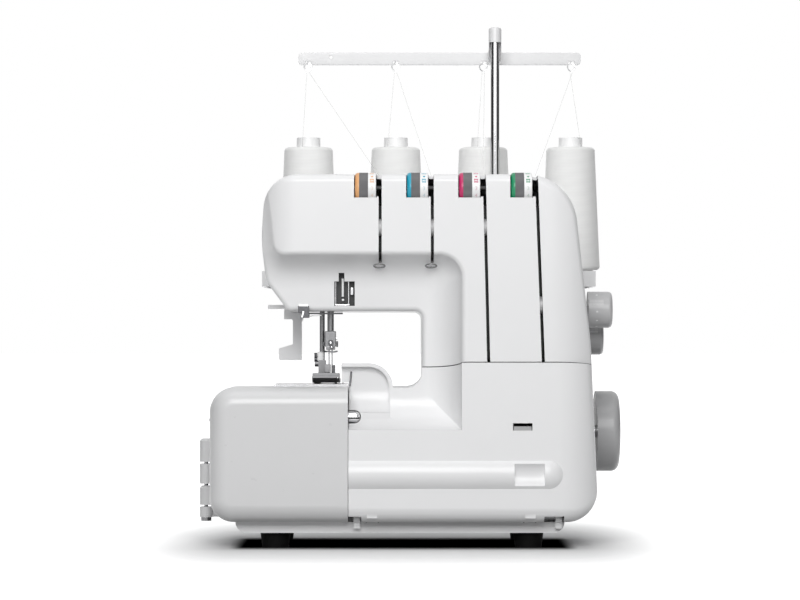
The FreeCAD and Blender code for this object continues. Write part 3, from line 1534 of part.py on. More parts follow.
def make_back_panel():
    flange = block(inlet_x - inlet_half_width - inlet_flange, inlet_x + inlet_half_width + inlet_flange,
                   body_depth, body_depth + inlet_flange / 2,
                   inlet_height - inlet_half_height - inlet_flange,
                   inlet_height + inlet_half_height + inlet_flange)
    cup = block(inlet_x - inlet_half_width, inlet_x + inlet_half_width, body_depth - inlet_depth, body_depth,
                inlet_height - inlet_half_height, inlet_height + inlet_half_height)
    hollow = block(inlet_x - inlet_half_width + wall, inlet_x + inlet_half_width - wall,
                   body_depth - inlet_depth + wall, body_depth + inlet_flange,
                   inlet_height - inlet_half_height + wall, inlet_height + inlet_half_height - wall)
    pins = [rod_y(body_depth - inlet_depth, body_depth - wall, inlet_x + side * inlet_half_width / 3,
                  inlet_height, inlet_pin_radius) for side in (-1, 1)]
    pieces["power_inlet"] = flange.fuse(cup).cut(hollow).fuse(pins)
    face_x = side_x(switch_height) + switch_proud
    rocker = block(face_x - 4 * wall, face_x,
                   switch_depth - switch_half_width, switch_depth + switch_half_width,
                   switch_height - switch_half_height, switch_height + switch_half_height)
    reach = switch_half_width + switch_pivot_reach
    pivot = rod_y(switch_depth - reach, switch_depth + reach, face_x - 2 * wall, switch_height,
                  switch_pivot_radius)
    pieces["power_switch"] = fuse([rocker, pivot])
    screws = []
    for x, z, depth in screw_sites():
        shank = rod_y(depth - screw_length, depth, x, z, screw_radius / 2)
        head = rod_y(depth, depth + screw_head_height, x, z, screw_radius)
        cut = block(x - screw_radius, x + screw_radius, depth + screw_head_height / 2,
                    depth + screw_head_height + over, z - screw_slot / 2, z + screw_slot / 2)
        screws.append(fuse([shank, head]).cut(cut))
    pieces["housing_screws"] = Part.Compound(screws)


make_upper_housings()
make_lower_housing()
make_looper_cover()
make_hinges()
make_cloth_plate_cover()
make_base()
make_frame()
make_needle_works()
make_rocker()
make_presser_works()
make_plate_and_feed()
make_knives()
pieces["lower_looper"] = looper(lower_looper_x, lower_looper_height, lower_looper_depth, -1)
pieces["upper_looper"] = looper(upper_looper_x, upper_looper_height, upper_looper_depth, -1)
make_drive()
make_dials()
make_tension_units()
make_small_guides()
make_lifter()
pieces["stitch_length_dial"] = knob(stitch_inner_x, stitch_face_x, stitch_depth, stitch_height, stitch_radius)
pieces["differential_feed_dial"] = knob(feed_dial_inner_x, feed_dial_face_x, feed_dial_depth,
                                        feed_dial_height, feed_dial_radius)
make_stand()
make_cones()
make_mast()
make_threads()
make_back_panel()

os.makedirs("parts", exist_ok=True)
for name, shape in pieces.items():
    shape.exportStep("parts/" + name + ".step")
    print(name, len(shape.Solids), round(shape.Volume), "valid" if shape.isValid() else "NOT VALID")
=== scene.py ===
import json
import math

import bmesh
import bpy
from mathutils import Matrix, Vector


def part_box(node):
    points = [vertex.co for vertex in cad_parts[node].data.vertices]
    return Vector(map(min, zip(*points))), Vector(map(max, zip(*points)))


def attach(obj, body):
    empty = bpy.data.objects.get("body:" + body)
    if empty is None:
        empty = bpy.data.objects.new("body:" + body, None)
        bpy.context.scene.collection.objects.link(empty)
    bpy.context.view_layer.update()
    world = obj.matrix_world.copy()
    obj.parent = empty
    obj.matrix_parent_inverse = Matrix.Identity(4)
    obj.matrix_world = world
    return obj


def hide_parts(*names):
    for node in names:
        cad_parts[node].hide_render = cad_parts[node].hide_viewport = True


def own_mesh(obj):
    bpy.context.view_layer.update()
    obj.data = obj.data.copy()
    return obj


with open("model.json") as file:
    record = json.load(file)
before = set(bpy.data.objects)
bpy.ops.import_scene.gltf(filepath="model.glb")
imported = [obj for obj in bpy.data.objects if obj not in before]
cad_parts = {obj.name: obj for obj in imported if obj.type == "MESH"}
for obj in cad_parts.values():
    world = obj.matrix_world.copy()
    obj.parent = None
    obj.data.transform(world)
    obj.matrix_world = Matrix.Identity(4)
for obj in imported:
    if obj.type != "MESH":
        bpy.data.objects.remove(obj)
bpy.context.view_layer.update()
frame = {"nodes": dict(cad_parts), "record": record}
nodes = frame["nodes"]
record = frame["record"]
body_of_node = {node: body for body, members in record["behaviour"]["bodies"].items()
                for node in members}
slot_of_node = {row["node"]: row["material_slot"] for row in record["subparts"]}

MM = 0.001
FRONT = -0.124
RIGHT, BACK, UP = Vector((1, 0, 0)), Vector((0, 1, 0)), Vector((0, 0, 1))


def spot(x, depth, height):
    """A point from millimetres: x, depth behind the front face, height over the floor."""
    return Vector((x * MM, FRONT + depth * MM, height * MM))


# Camera

PHOTO_WIDTH = 800
PHOTO_MM_PER_PIXEL = 0.77
CAMERA_DISTANCE = 2.2
CAMERA_X = -0.0085
CAMERA_Z = 0.162
AXIS_BELOW_MIDDLE = 40
SENSOR_WIDTH = 36
FAR_CLIP = 100


def photo_camera():
    """A level camera on the front whose optical axis runs below the middle of the picture."""
    data = bpy.data.cameras.new("photo_camera")
    data.sensor_width = SENSOR_WIDTH
    data.lens = SENSOR_WIDTH * CAMERA_DISTANCE / (PHOTO_WIDTH * PHOTO_MM_PER_PIXEL * MM)
    data.shift_y = AXIS_BELOW_MIDDLE / PHOTO_WIDTH
    data.clip_end = FAR_CLIP
    camera = bpy.data.objects.new("photo_camera", data)
    camera.location = (CAMERA_X, FRONT - CAMERA_DISTANCE, CAMERA_Z)
    camera.rotation_euler = (math.radians(90), 0, 0)
    bpy.context.scene.collection.objects.link(camera)
    bpy.context.scene.camera = camera


photo_camera()


# Finishes

MIX_COLOUR_A, MIX_COLOUR_B, MIX_COLOUR = 6, 7, 2


class Wire:
    """A node's output. Arithmetic on it adds Math nodes."""

    def __init__(self, finish, port):
        self.finish = finish
        self.port = port

    def maths(self, operation, *values):
        return self.finish.add("ShaderNodeMath", {"operation": operation}, *values)

    def __add__(self, other):
        return self.maths("ADD", self, other)

    def __sub__(self, other):
        return self.maths("SUBTRACT", self, other)

    def __rsub__(self, other):
        return self.maths("SUBTRACT", other, self)

    def __mul__(self, other):
        return self.maths("MULTIPLY", self, other)

    def __gt__(self, other):
        return self.maths("GREATER_THAN", self, other)

    def sine(self):
        return self.maths("SINE", self)

    def size(self):
        return self.maths("ABSOLUTE", self)

    def root(self):
        return self.maths("SQRT", self)

    def clipped(self):
        return self.maths("MAXIMUM", self, 0.0)

    def wrapped(self, low, high):
        return self.maths("WRAP", self, high, low)

    def arctan2(self, other):
        return self.maths("ARCTAN2", self, other)

    def ramp(self, low, high):
        """0 below low, 1 above high and smooth between them."""
        settings = {"interpolation_type": "SMOOTHSTEP"}
        return self.finish.add("ShaderNodeMapRange", settings, self, low, high)


class Graph:
    """A node tree with one method that makes its nodes."""

    def __init__(self, tree):
        self.tree = tree

    def add(self, kind, settings, *values, output=0, numbered=(), **named):
        """One node: its settings first, then the values or links of its sockets."""
        node = self.tree.nodes.new(kind)
        for key, value in settings.items():
            setattr(node, key, value)
        for key, value in [*enumerate(values), *numbered, *named.items()]:
            self.join(node.inputs[key], value)
        return Wire(self, node.outputs[output])

    def join(self, socket, value):
        if isinstance(value, Wire):
            self.tree.links.new(value.port, socket)
        elif isinstance(value, tuple) and socket.type == "RGBA":
            socket.default_value = (*value, 1)
        else:
            socket.default_value = value

    def mix(self, share, colour_a, colour_b):
        """Colour a where the share is 0, colour b where it is 1."""
        colours = ((MIX_COLOUR_A, colour_a), (MIX_COLOUR_B, colour_b))
        return self.add("ShaderNodeMix", {"data_type": "RGBA"}, share, numbered=colours, output=MIX_COLOUR)

    def ray(self, *kinds):
        """1 for rays of these kinds."""
        total = 0
        for kind in kinds:
            total = self.add("ShaderNodeLightPath", {}, output=f"Is {kind} Ray") + total
        return total


class Finish(Graph):
    """A procedural material round one Principled shader."""

    def __init__(self, name, **constants):
        self.material = bpy.data.materials.new(name)
        self.material.use_nodes = True
        super().__init__(self.material.node_tree)
        self.shader = self.tree.nodes["Principled BSDF"]
        self.place = self.add("ShaderNodeTexCoord", {}, output="Object")
        self.feed(**constants)

    def feed(self, **sockets):
        """Set or link the shader's sockets, named in small letters."""
        for name, value in sockets.items():
            title = name.replace("_", " ").title().replace("Ior", "IOR")
            self.join(self.shader.inputs[title], value)
        return self

    def grain(self, scale, detail):
        return self.add("ShaderNodeTexNoise", {}, Vector=self.place, Scale=scale, Detail=detail)

    def axis(self, index):
        return self.add("ShaderNodeSeparateXYZ", {}, self.place, output=index)

    def bump(self, height, depth, strength):
        normal = self.add("ShaderNodeBump", {}, Height=height, Distance=depth, Strength=strength)
        return self.feed(normal=normal)


BLACK, BRIGHT = (0, 0, 0), (1, 1, 1)
# Painted shade: a dark line on the white housings along their joint with the looper cover, for the shade
# in the gap.
SEAM_SLOPE = math.tan(math.radians(8))
SEAM_LOW, SEAM_HIGH, SEAM_LEFT = 144.55 * MM, 145.3 * MM, 5 * MM
SEAM_SHADE = (0.06, 0.06, 0.062)
# Painted reflection: heights of the dark band across the lock stud, and its colour.
STUD_REFLECTION_LOW, STUD_REFLECTION_HIGH = 100.8 * MM, 102.0 * MM
STUD_REFLECTION_DARK = (0.02, 0.02, 0.02)


def shade(colour, share):
    return tuple(channel * share for channel in colour)


def paler(colour):
    return tuple(0.55 + 0.35 * channel for channel in colour)


def clouded(finish, colour):
    return finish.mix(finish.grain(scale=18, detail=3), shade(colour, 0.975), shade(colour, 1.02))


def moulded(name, colour, roughness=0.34, coat=0.12):
    """Injection-moulded plastic: faint clouding, uneven gloss and a fine spark texture."""
    finish = Finish(name, coat_weight=coat, coat_roughness=0.18, ior=1.46)
    gloss = finish.grain(scale=140, detail=4)
    finish.feed(base_color=clouded(finish, colour))
    finish.feed(roughness=gloss * 0.12 + (roughness - 0.06))
    return finish.bump(finish.grain(scale=1400, detail=2), depth=0.00002, strength=0.5)


def painted_seam_shade(name, colour):
    """Housing plastic with painted shade: a dark line along its joint with the looper cover, tilting down
    towards the back, stands in for the shade in the gap.
    """
    finish = moulded(name, colour)
    joint = finish.axis("Z") + (finish.axis("Y") - FRONT) * SEAM_SLOPE
    # Painted shade: the band along the joint where the gap's shadow falls.
    line = (joint > SEAM_LOW) * (1 - (joint > SEAM_HIGH)) * (finish.axis("X") > SEAM_LEFT)
    return finish.feed(base_color=finish.mix(line, clouded(finish, colour), SEAM_SHADE))


def polished(name, colour, roughness=0.06):
    """Chrome plate with faint haze and fine rubbing marks."""
    finish = Finish(name, metallic=1.0)
    haze = finish.grain(scale=90, detail=3)
    finish.feed(base_color=finish.mix(haze, shade(colour, 0.93), colour))
    finish.feed(roughness=haze * 0.05 + roughness)
    return finish.bump(finish.grain(scale=2200, detail=1), depth=0.000002, strength=0.3)


def chrome_with_painted_reflection(name, colour):
    """Chrome on the level lock stud, with a painted reflection: a dark band across it stands in for the
    table's edge mirrored in it.
    """
    finish = polished(name, colour)
    height = finish.axis("Z")
    # Painted reflection: the band where the table's edge would be mirrored.
    line = (height > STUD_REFLECTION_LOW) * (1 - (height > STUD_REFLECTION_HIGH))
    return finish.feed(base_color=finish.mix(line, colour, STUD_REFLECTION_DARK))


def ground_steel(name, colour, roughness=0.24):
    """Ground steel with streaks from the grinding wheel."""
    finish = Finish(name, metallic=1.0)
    streaked = finish.add("ShaderNodeMapping", {}, Vector=finish.place, Scale=(260, 2600, 260))
    streak = finish.add("ShaderNodeTexNoise", {}, Vector=streaked, Scale=1.0, Detail=3.0)
    finish.feed(base_color=finish.mix(streak, shade(colour, 0.8), shade(colour, 1.08)))
    finish.feed(roughness=streak * 0.18 + (roughness - 0.08))
    return finish.bump(streak, depth=0.000008, strength=0.4)


def cast_metal(name, colour):
    """Sand-cast alloy: pitted and uneven."""
    finish = Finish(name, metallic=0.85)
    pits = finish.grain(scale=420, detail=6)
    finish.feed(base_color=finish.mix(pits, shade(colour, 0.72), shade(colour, 1.1)))
    finish.feed(roughness=pits * 0.3 + 0.35)
    return finish.bump(pits, depth=0.0002, strength=0.6)


def black_rubber(name):
    """Soft rubber with a bloom of dust."""
    finish = Finish(name, specular_ior_level=0.1)
    dust = finish.grain(scale=260, detail=5)
    finish.feed(base_color=finish.mix(dust, (0.002, 0.002, 0.002), (0.008, 0.008, 0.008)))
    finish.feed(roughness=dust * 0.25 + 0.55)
    return finish.bump(finish.grain(scale=1600, detail=3), depth=0.00006, strength=0.7)


FIRST_CONE_X, CONE_PITCH, CONE_DEPTH = -86, 74, 222


def wound_thread(name, colour):
    """Fine thread wound round the upright cones that stand in a row along x."""
    finish = Finish(name, sheen_weight=0.55, sheen_roughness=0.45)
    half = CONE_PITCH * MM / 2
    along = (finish.axis("X") - FIRST_CONE_X * MM).wrapped(-half, half)
    turn = (finish.axis("Y") - (FRONT + CONE_DEPTH * MM)).arctan2(along)
    height = finish.axis("Z")
    drift = finish.grain(scale=60, detail=4) * 5.0
    layers = (height * 5200 + turn + drift).sine()
    crossing = (height * 700 - turn * 3 + drift).sine()
    fibre = finish.grain(scale=2600, detail=3)
    relief = layers * 0.45 + crossing * 0.2 + fibre * 0.5
    finish.feed(base_color=finish.mix(relief * 0.5 + 0.5, shade(colour, 0.94), shade(colour, 1.02)))
    finish.feed(roughness=fibre * 0.1 + 0.75)
    return finish.bump(relief, depth=0.00007, strength=0.6)


def spun_thread(name, colour):
    """Polyester sewing thread."""
    finish = Finish(name, sheen_weight=0.2, roughness=0.7, alpha=0.4)
    fibre = finish.grain(scale=3000, detail=3)
    finish.feed(base_color=finish.mix(fibre, shade(colour, 0.9), colour))
    return finish.bump(fibre, depth=0.00003, strength=0.5)


WHITE = (0.82, 0.82, 0.825)
# The white housings carry the painted shade of the joint.
white_plastic = painted_seam_shade("white_moulding", WHITE)
plate_plastic = moulded("cloth_plate_moulding", shade(WHITE, 0.82), roughness=0.3)
# Painted shade: the mast bar is the white moulding made darker, to offset the light it gets from the top
# softbox.
shaded_bar_plastic = moulded("mast_bar_shaded_moulding", shade(WHITE, 0.9))
pan_plastic = moulded("pan_moulding", (0.84, 0.84, 0.845), roughness=0.45, coat=0.0)
hinge_plastic = moulded("hinge_moulding", (0.7, 0.7, 0.705), roughness=0.4)
knob_plastic = moulded("knob_moulding", (0.45, 0.45, 0.455), roughness=0.36)
wheel_plastic = moulded("wheel_moulding", (0.38, 0.38, 0.385), roughness=0.36)
tab_plastic = moulded("tab_moulding", (0.38, 0.38, 0.385), roughness=0.4)
lifter_plastic = moulded("lifter_moulding", (0.84, 0.84, 0.845), roughness=0.4)
mark_plastic = moulded("dial_mark_moulding", (0.62, 0.62, 0.625), roughness=0.36)
dial_plastic = moulded("dial_moulding", (0.14, 0.14, 0.145), roughness=0.5, coat=0.0)
scale_plastic = moulded("scale_moulding", (0.9, 0.9, 0.9), roughness=0.4)
cone_plastic = moulded("cone_moulding", (0.93, 0.93, 0.93), roughness=0.36, coat=0.05)
black_plastic = moulded("black_moulding", (0.012, 0.012, 0.013), roughness=0.42, coat=0.0)
motor_paint = moulded("motor_paint", (0.03, 0.03, 0.032), roughness=0.4, coat=0.2)
ACCENT_COLOURS = {
    "1": (0.78, 0.4, 0.17), "2": (0.01, 0.35, 0.5),
    "3": (0.55, 0.02, 0.13), "4": (0.005, 0.26, 0.11),
}
accents = {index: moulded(f"accent_moulding_{index}", colour, coat=0.1)
           for index, colour in ACCENT_COLOURS.items()}
inks = {index: moulded(f"scale_ink_{index}", colour, roughness=0.5, coat=0.0)
        for index, colour in ACCENT_COLOURS.items()}
pale_inks = {index: moulded(f"pale_ink_{index}", paler(colour), roughness=0.5)
             for index, colour in ACCENT_COLOURS.items()}
chrome = polished("chrome_plate", (0.82, 0.82, 0.83))
mast_chrome = polished("mast_chrome", (0.72, 0.72, 0.73)).feed(specular_tint=(0.15, 0.15, 0.15))
steel = ground_steel("ground_steel", (0.52, 0.52, 0.53))
satin = ground_steel("satin_nickel", (0.74, 0.74, 0.74), roughness=0.34)
bar_steel = ground_steel("bar_steel", (0.2, 0.2, 0.205), roughness=0.22)
foot_steel = ground_steel("foot_steel", (0.22, 0.22, 0.225), roughness=0.5)
eyelet_wire = polished("eyelet_wire", (0.6, 0.6, 0.605), roughness=0.2)
clamp_steel = ground_steel("clamp_steel", (0.18, 0.18, 0.185), roughness=0.36)
stud_chrome_painted_reflection = chrome_with_painted_reflection("stud_chrome_painted_reflection", (0.82, 0.82, 0.83))
blued = ground_steel("blued_steel", (0.09, 0.09, 0.095), roughness=0.3)
casting = cast_metal("cast_alloy", (0.5, 0.5, 0.5))
rubber = black_rubber("foot_rubber")
cone_winding = wound_thread("cone_winding", (0.92, 0.92, 0.91))
sewing_thread = spun_thread("sewing_thread", (0.9, 0.9, 0.89))

slot_finish = {
    "body_white": white_plastic, "pan_grey": pan_plastic, "foot_rubber": rubber,
    "dial_grey": dial_plastic, "cap_orange": accents["1"], "cap_teal": accents["2"],
    "cap_magenta": accents["3"], "cap_green": accents["4"], "knob_grey": knob_plastic,
    "chrome": chrome, "steel": steel, "casting": casting, "motor_black": motor_paint,
    "channel_black": black_plastic, "cone_white": cone_plastic, "thread_white": cone_winding,
}


# Making pieces

def dress(obj, finish):
    obj.data.materials.clear()
    obj.data.materials.append(finish.material)


def settle(mesh, name, finish, body, slot, *replaced):
    """Turn a finished mesh into a piece that rides on a body."""
    piece = bpy.data.objects.new(name, mesh)
    bpy.context.scene.collection.objects.link(piece)
    dress(piece, finish)
    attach(piece, body)
    if replaced:
        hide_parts(*replaced)
    return piece


def smooth_by_angle(work, degrees):
    """Shade smooth, with sharp edges where faces turn by more than an angle."""
    limit = math.radians(degrees)
    for face in work.faces:
        face.smooth = True
    for edge in work.edges:
        edge.smooth = len(edge.link_faces) == 2 and edge.calc_face_angle(math.pi) < limit


def mesh_of(work, name, degrees):
    smooth_by_angle(work, degrees)
    mesh = bpy.data.meshes.new(name)
    work.to_mesh(mesh)
    work.free()
    return mesh


def even_normals(piece):
    flatten = piece.modifiers.new("even_normals", "WEIGHTED_NORMAL")
    flatten.keep_sharp = True
    flatten.weight = 80


def skin(node, finish):
    """A merged, smoothly shaded copy of a node's mesh that stands for the node."""
    work = bmesh.new()
    work.from_mesh(nodes[node].data)
    bmesh.ops.remove_doubles(work, verts=work.verts, dist=2e-6)
    name = node + "_skin"
    mesh = mesh_of(work, name, degrees=26)
    even_normals(settle(mesh, name, finish, body_of_node[node], slot_of_node[node], node))


def add_piece(work, name, finish, body, slot, *replaced, degrees=30):
    """Close up a built mesh and settle it."""
    bmesh.ops.remove_doubles(work, verts=work.verts, dist=1e-7)
    bmesh.ops.recalc_face_normals(work, faces=work.faces)
    piece = settle(mesh_of(work, name, degrees), name, finish, body, slot, *replaced)
    even_normals(piece)
    return piece


def edges_of(work, verts):
    chosen = set(verts)
    return [edge for edge in work.edges if edge.verts[0] in chosen]


def round_edges(work, edges, radius, segments):
    bmesh.ops.bevel(work, geom=edges, offset=radius * MM, offset_type="OFFSET", segments=segments,
                    profile=0.5, affect="EDGES", material=-1, clamp_overlap=True)


def brick(work, low, high, radius, segments=2, tilt=None):
    """A box between two corners, tilted about its middle, with rounded edges."""
    middle = (low + high) / 2
    place = Matrix.Translation(middle) @ (tilt or Matrix()) @ Matrix.Diagonal((*(high - low), 1))
    verts = bmesh.ops.create_cube(work, size=1, matrix=place)["verts"]
    round_edges(work, edges_of(work, verts), radius, segments)


def turn(work, outline, centre, axis, steps):
    """Spin an outline of (radius, distance along the axis), in millimetres, about an axis."""
    side = axis.orthogonal().normalized()
    verts = [work.verts.new(centre + axis * (along * MM) + side * (radius * MM))
             for radius, along in outline]
    edges = [work.edges.new(pair) for pair in zip(verts, verts[1:])]
    bmesh.ops.spin(work, geom=verts + edges, cent=centre, axis=axis, dvec=(0, 0, 0),
                   angle=math.tau, steps=steps, use_merge=True)


def drum(work, centre, axis, radius, length, ridges, depth):
    """A wheel whose rim has fine ridges across it, from its left face along the axis."""
    facing = axis.to_track_quat("Z", "Y").to_matrix().to_4x4()
    place = Matrix.Translation(centre + axis * (length * MM / 2)) @ facing
    verts = bmesh.ops.create_cone(work, cap_ends=True, segments=2 * ridges, radius1=radius * MM,
                                  radius2=radius * MM, depth=length * MM, matrix=place)["verts"]
    inverse = place.inverted()
    step = math.pi / ridges
    hollows = []
    for vert in verts:
        local = inverse @ vert.co
        if round(math.atan2(local.y, local.x) / step) % 2:
            hollows.append(vert)
    share = 1 - depth / radius
    bmesh.ops.scale(work, vec=(share, share, 1), space=inverse, verts=hollows)


def patch(work, left, right, low, high, centre, radius, thickness=0.12):
    """A thin curved plate on a drum along x, between two angles up from the front."""
    start = math.radians(low)
    swing = math.radians(high - low)
    outward = Vector((0, -math.cos(start), math.sin(start))) * radius * MM
    ends = [work.verts.new(Vector((x * MM, centre.y, centre.z)) + outward) for x in (left, right)]
    edge = work.edges.new(ends)
    steps = max(2, round(math.degrees(swing) / 4))
    before = set(work.faces)
    bmesh.ops.spin(work, geom=ends + [edge], cent=centre, axis=-RIGHT, dvec=(0, 0, 0),
                   angle=swing, steps=steps)
    made = [face for face in work.faces if face not in before]
    bmesh.ops.solidify(work, geom=made, thickness=thickness * MM)


def pour(work, curve, place=Matrix()):
    """Add a curve's mesh to the work, put in its place, and drop the curve."""
    holder = bpy.data.objects.new("holder", curve)
    mesh = bpy.data.meshes.new_from_object(holder)
    mesh.transform(place)
    work.from_mesh(mesh)
    bpy.data.objects.remove(holder)
    bpy.data.curves.remove(curve)
    bpy.data.meshes.remove(mesh)


def bent_wire(work, points, radius, cyclic=False):
    """A round wire along a smooth line through control points."""
    curve = bpy.data.curves.new("wire", "CURVE")
    curve.dimensions = "3D"
    curve.bevel_depth = radius * MM
    curve.bevel_resolution = 3
    curve.use_fill_caps = True
    spline = curve.splines.new("NURBS")
    spline.points.add(len(points) - 1)
    for point, place in zip(spline.points, points):
        point.co = (*place, 1)
    spline.order_u = 3
    spline.use_endpoint_u = not cyclic
    spline.use_cyclic_u = cyclic
    spline.resolution_u = 6
    pour(work, curve)


def figure(work, text, size, place, thickness=0.08):
    """A raised figure that faces along its place's z."""
    curve = bpy.data.curves.new("figure", "FONT")
    curve.body = text
    curve.size = size * MM
    curve.extrude = thickness * MM / 2
    curve.align_x = curve.align_y = "CENTER"
    curve.resolution_u = 3
    pour(work, curve, place)


def facing_out(centre, axis_x, outward):
    """A frame at a point with its x along one way and its z along another."""
    across = outward.cross(axis_x)
    rows = Matrix((axis_x, across, outward)).transposed()
    return Matrix.Translation(centre) @ rows.to_4x4()


def on_drum(centre, radius, degrees):
    """A frame that faces out of a drum along x, at an angle up from the front."""
    angle = math.radians(degrees)
    outward = Vector((0, -math.cos(angle), math.sin(angle)))
    return facing_out(centre + outward * (radius * MM), RIGHT, outward)


# Sewing threads, from each cone up to its eyelet and down to its tension slot

EYELET_X = (-86.4, -12.2, 62.0, 136.5)
FIRST_SLOT_X, SLOT_PITCH, SLOT_DEPTH = -24.5, 40.1, 6
THREAD_TOP = 388.4
THREAD_TOP_DEPTH = 220.05
CONE_THREAD_Z = 325.1
CONE_RIM = 14
SLOT_THREAD_Z = 288.6
THREAD_DIAMETER = 0.4
LEAVE_TURNS = (-20.0, -29.0, -22.0, 36.0)


def thread(name, foot, top):
    """One taut run of thread, a thin cylinder between its foot and its top."""
    run = top - foot
    facing = run.to_track_quat("Z", "Y").to_matrix().to_4x4()
    radius = THREAD_DIAMETER * MM / 2
    work = bmesh.new()
    bmesh.ops.create_cone(work, cap_ends=True, segments=8, radius1=radius, radius2=radius,
                          depth=run.length, matrix=Matrix.Translation((foot + top) / 2) @ facing)
    mesh = mesh_of(work, name, degrees=60)
    piece = settle(mesh, name, sewing_thread, "machine", "thread_white", "thread_runs")
    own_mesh(piece)


for index, eyelet in enumerate(EYELET_X):
    leave = math.radians(LEAVE_TURNS[index])
    cone_x = FIRST_CONE_X + CONE_PITCH * index
    cone_foot = spot(cone_x + CONE_RIM * math.sin(leave), CONE_DEPTH - CONE_RIM * math.cos(leave),
                     CONE_THREAD_Z)
    thread(f"cone_thread_{index + 1}", cone_foot, spot(eyelet - 1, THREAD_TOP_DEPTH, THREAD_TOP))
    slot_foot = spot(FIRST_SLOT_X + SLOT_PITCH * index, SLOT_DEPTH, SLOT_THREAD_Z)
    thread(f"slot_thread_{index + 1}", slot_foot, spot(eyelet + 1, THREAD_TOP_DEPTH, THREAD_TOP))


# Tension dials

FIRST_DIAL_LEFT, DIAL_DEPTH, DIAL_HEIGHT = -40.0, 10, 279.4
DIAL_RADIUS = 12.0
DIAL_WHEEL = 6.9
CAP_WIDTH = 3.3
CAP_OUTLINE = (
    (0, -CAP_WIDTH), (9.2, -CAP_WIDTH), (10.8, -CAP_WIDTH + 0.3), (11.6, -CAP_WIDTH + 1.1),
    (12.0, -1.0), (12.0, 0), (0, 0),
)
DIAL_SCALE = 6.1
SCALE_RADIUS = DIAL_RADIUS - 0.15
SCALE_OUTLINE = (
    (0, 0), (SCALE_RADIUS, 0), (SCALE_RADIUS, 5.7), (SCALE_RADIUS - 0.4, DIAL_SCALE),
    (0, DIAL_SCALE),
)
SCALE_FIGURES = "3456789012"
FIGURE_SIZE, FIRST_FIGURE, FIGURE_STEP = 4.2, -4, -27
POINTER_ANGLE, POINTER_RADIUS = 46, 1.2


def tension_dial(index):
    """A ribbed wheel with a domed cap on its left and a printed scale on its right."""
    name = f"tension_dial_{index}"
    slot = slot_of_node[f"tension_cap_{index}"]
    left = FIRST_DIAL_LEFT + SLOT_PITCH * (int(index) - 1)
    split = left + DIAL_WHEEL
    end = split + DIAL_SCALE
    start = spot(left, DIAL_DEPTH, DIAL_HEIGHT)
    centre = spot(split, DIAL_DEPTH, DIAL_HEIGHT)
    scale_middle = centre + RIGHT * (DIAL_SCALE * MM / 2)
    work = bmesh.new()
    drum(work, start, RIGHT, DIAL_RADIUS, DIAL_WHEEL, ridges=90, depth=0.22)
    add_piece(work, name + "_wheel", dial_plastic, name, "dial_grey", name, degrees=20)
    work = bmesh.new()
    turn(work, CAP_OUTLINE, start, RIGHT, steps=96)
    add_piece(work, name + "_dome", accents[index], name, slot, f"tension_cap_{index}", degrees=40)
    work = bmesh.new()
    turn(work, SCALE_OUTLINE, centre, RIGHT, steps=96)
    add_piece(work, name + "_scale", scale_plastic, name, "dial_grey", name)
    work = bmesh.new()
    first, last = split + 1.1, end - 1.3
    for start_x, end_x, low, high in (
            (first, last, 62, 82), (first + 0.2, last - 0.2, 19, 24), (first + 0.2, last - 0.2, 30, 35),
            (first + 0.2, first + 1.5, 23, 31), (last - 1.5, last - 0.2, 23, 31)):
        patch(work, start_x, end_x, low, high, centre, SCALE_RADIUS)
    place = on_drum(scale_middle, SCALE_RADIUS, POINTER_ANGLE)
    bmesh.ops.create_cone(work, cap_ends=True, segments=3, radius1=POINTER_RADIUS * MM,
                          radius2=POINTER_RADIUS * MM, depth=0.16 * MM,
                          matrix=place @ Matrix.Rotation(math.radians(180), 4, "Z"))
    add_piece(work, name + "_marks", inks[index], name, slot, name)
    work = bmesh.new()
    for step, text in enumerate(SCALE_FIGURES):
        place = on_drum(scale_middle, SCALE_RADIUS, FIRST_FIGURE + FIGURE_STEP * step)
        figure(work, text, FIGURE_SIZE, place)
    add_piece(work, name + "_figures", pale_inks[index], name, slot, name)


for dial in ACCENT_COLOURS:
    tension_dial(dial)


# Tension discs: two dished plates on a post in each slot

DISC_HEIGHTS = (249.0, 249.0, 249.0, 189.0)
DISC_DEPTH = 9.5
FIRST_UNIT_X, UNIT_PITCH, UNIT_REACH_X, UNIT_REACH_Z = -25, 41, 16, 8
DISC_OUTLINE = (
    (0, 0.3), (3.0, 0.3), (5.0, 0.5), (6.4, 1.15), (6.6, 1.0), (6.6, 0.2), (6.45, 0.05), (0, 0.05),
)
POST_OUTLINE = ((0, -3.1), (1.3, -3.1), (1.5, -2.9), (1.5, 2.9), (1.3, 3.1), (0, 3.1))


def tension_discs():
    """The discs stand in the middle of each unit of the node they replace."""
    units = nodes["tension_units"].data
    work = bmesh.new()
    for index, height in enumerate(DISC_HEIGHTS):
        unit_x = FIRST_UNIT_X + UNIT_PITCH * index
        near = [vert.co.x for vert in units.vertices
                if abs(vert.co.z - height * MM) < UNIT_REACH_Z * MM
                and abs(vert.co.x - unit_x * MM) < UNIT_REACH_X * MM]
        middle = spot((min(near) + max(near)) / 2 / MM, DISC_DEPTH, height)
        for side in (-1, 1):
            turn(work, DISC_OUTLINE, middle, RIGHT * side, steps=56)
        turn(work, POST_OUTLINE, middle, RIGHT, steps=24)
    add_piece(work, "tension_discs", mark_plastic, "machine", "chrome", "tension_units")


tension_discs()


# Thread guides on the head

RING_X = (-24.5, 15.6)
RING_POINTS = 12
HOOK_TILT = Matrix.Rotation(0.25, 4, "Y")


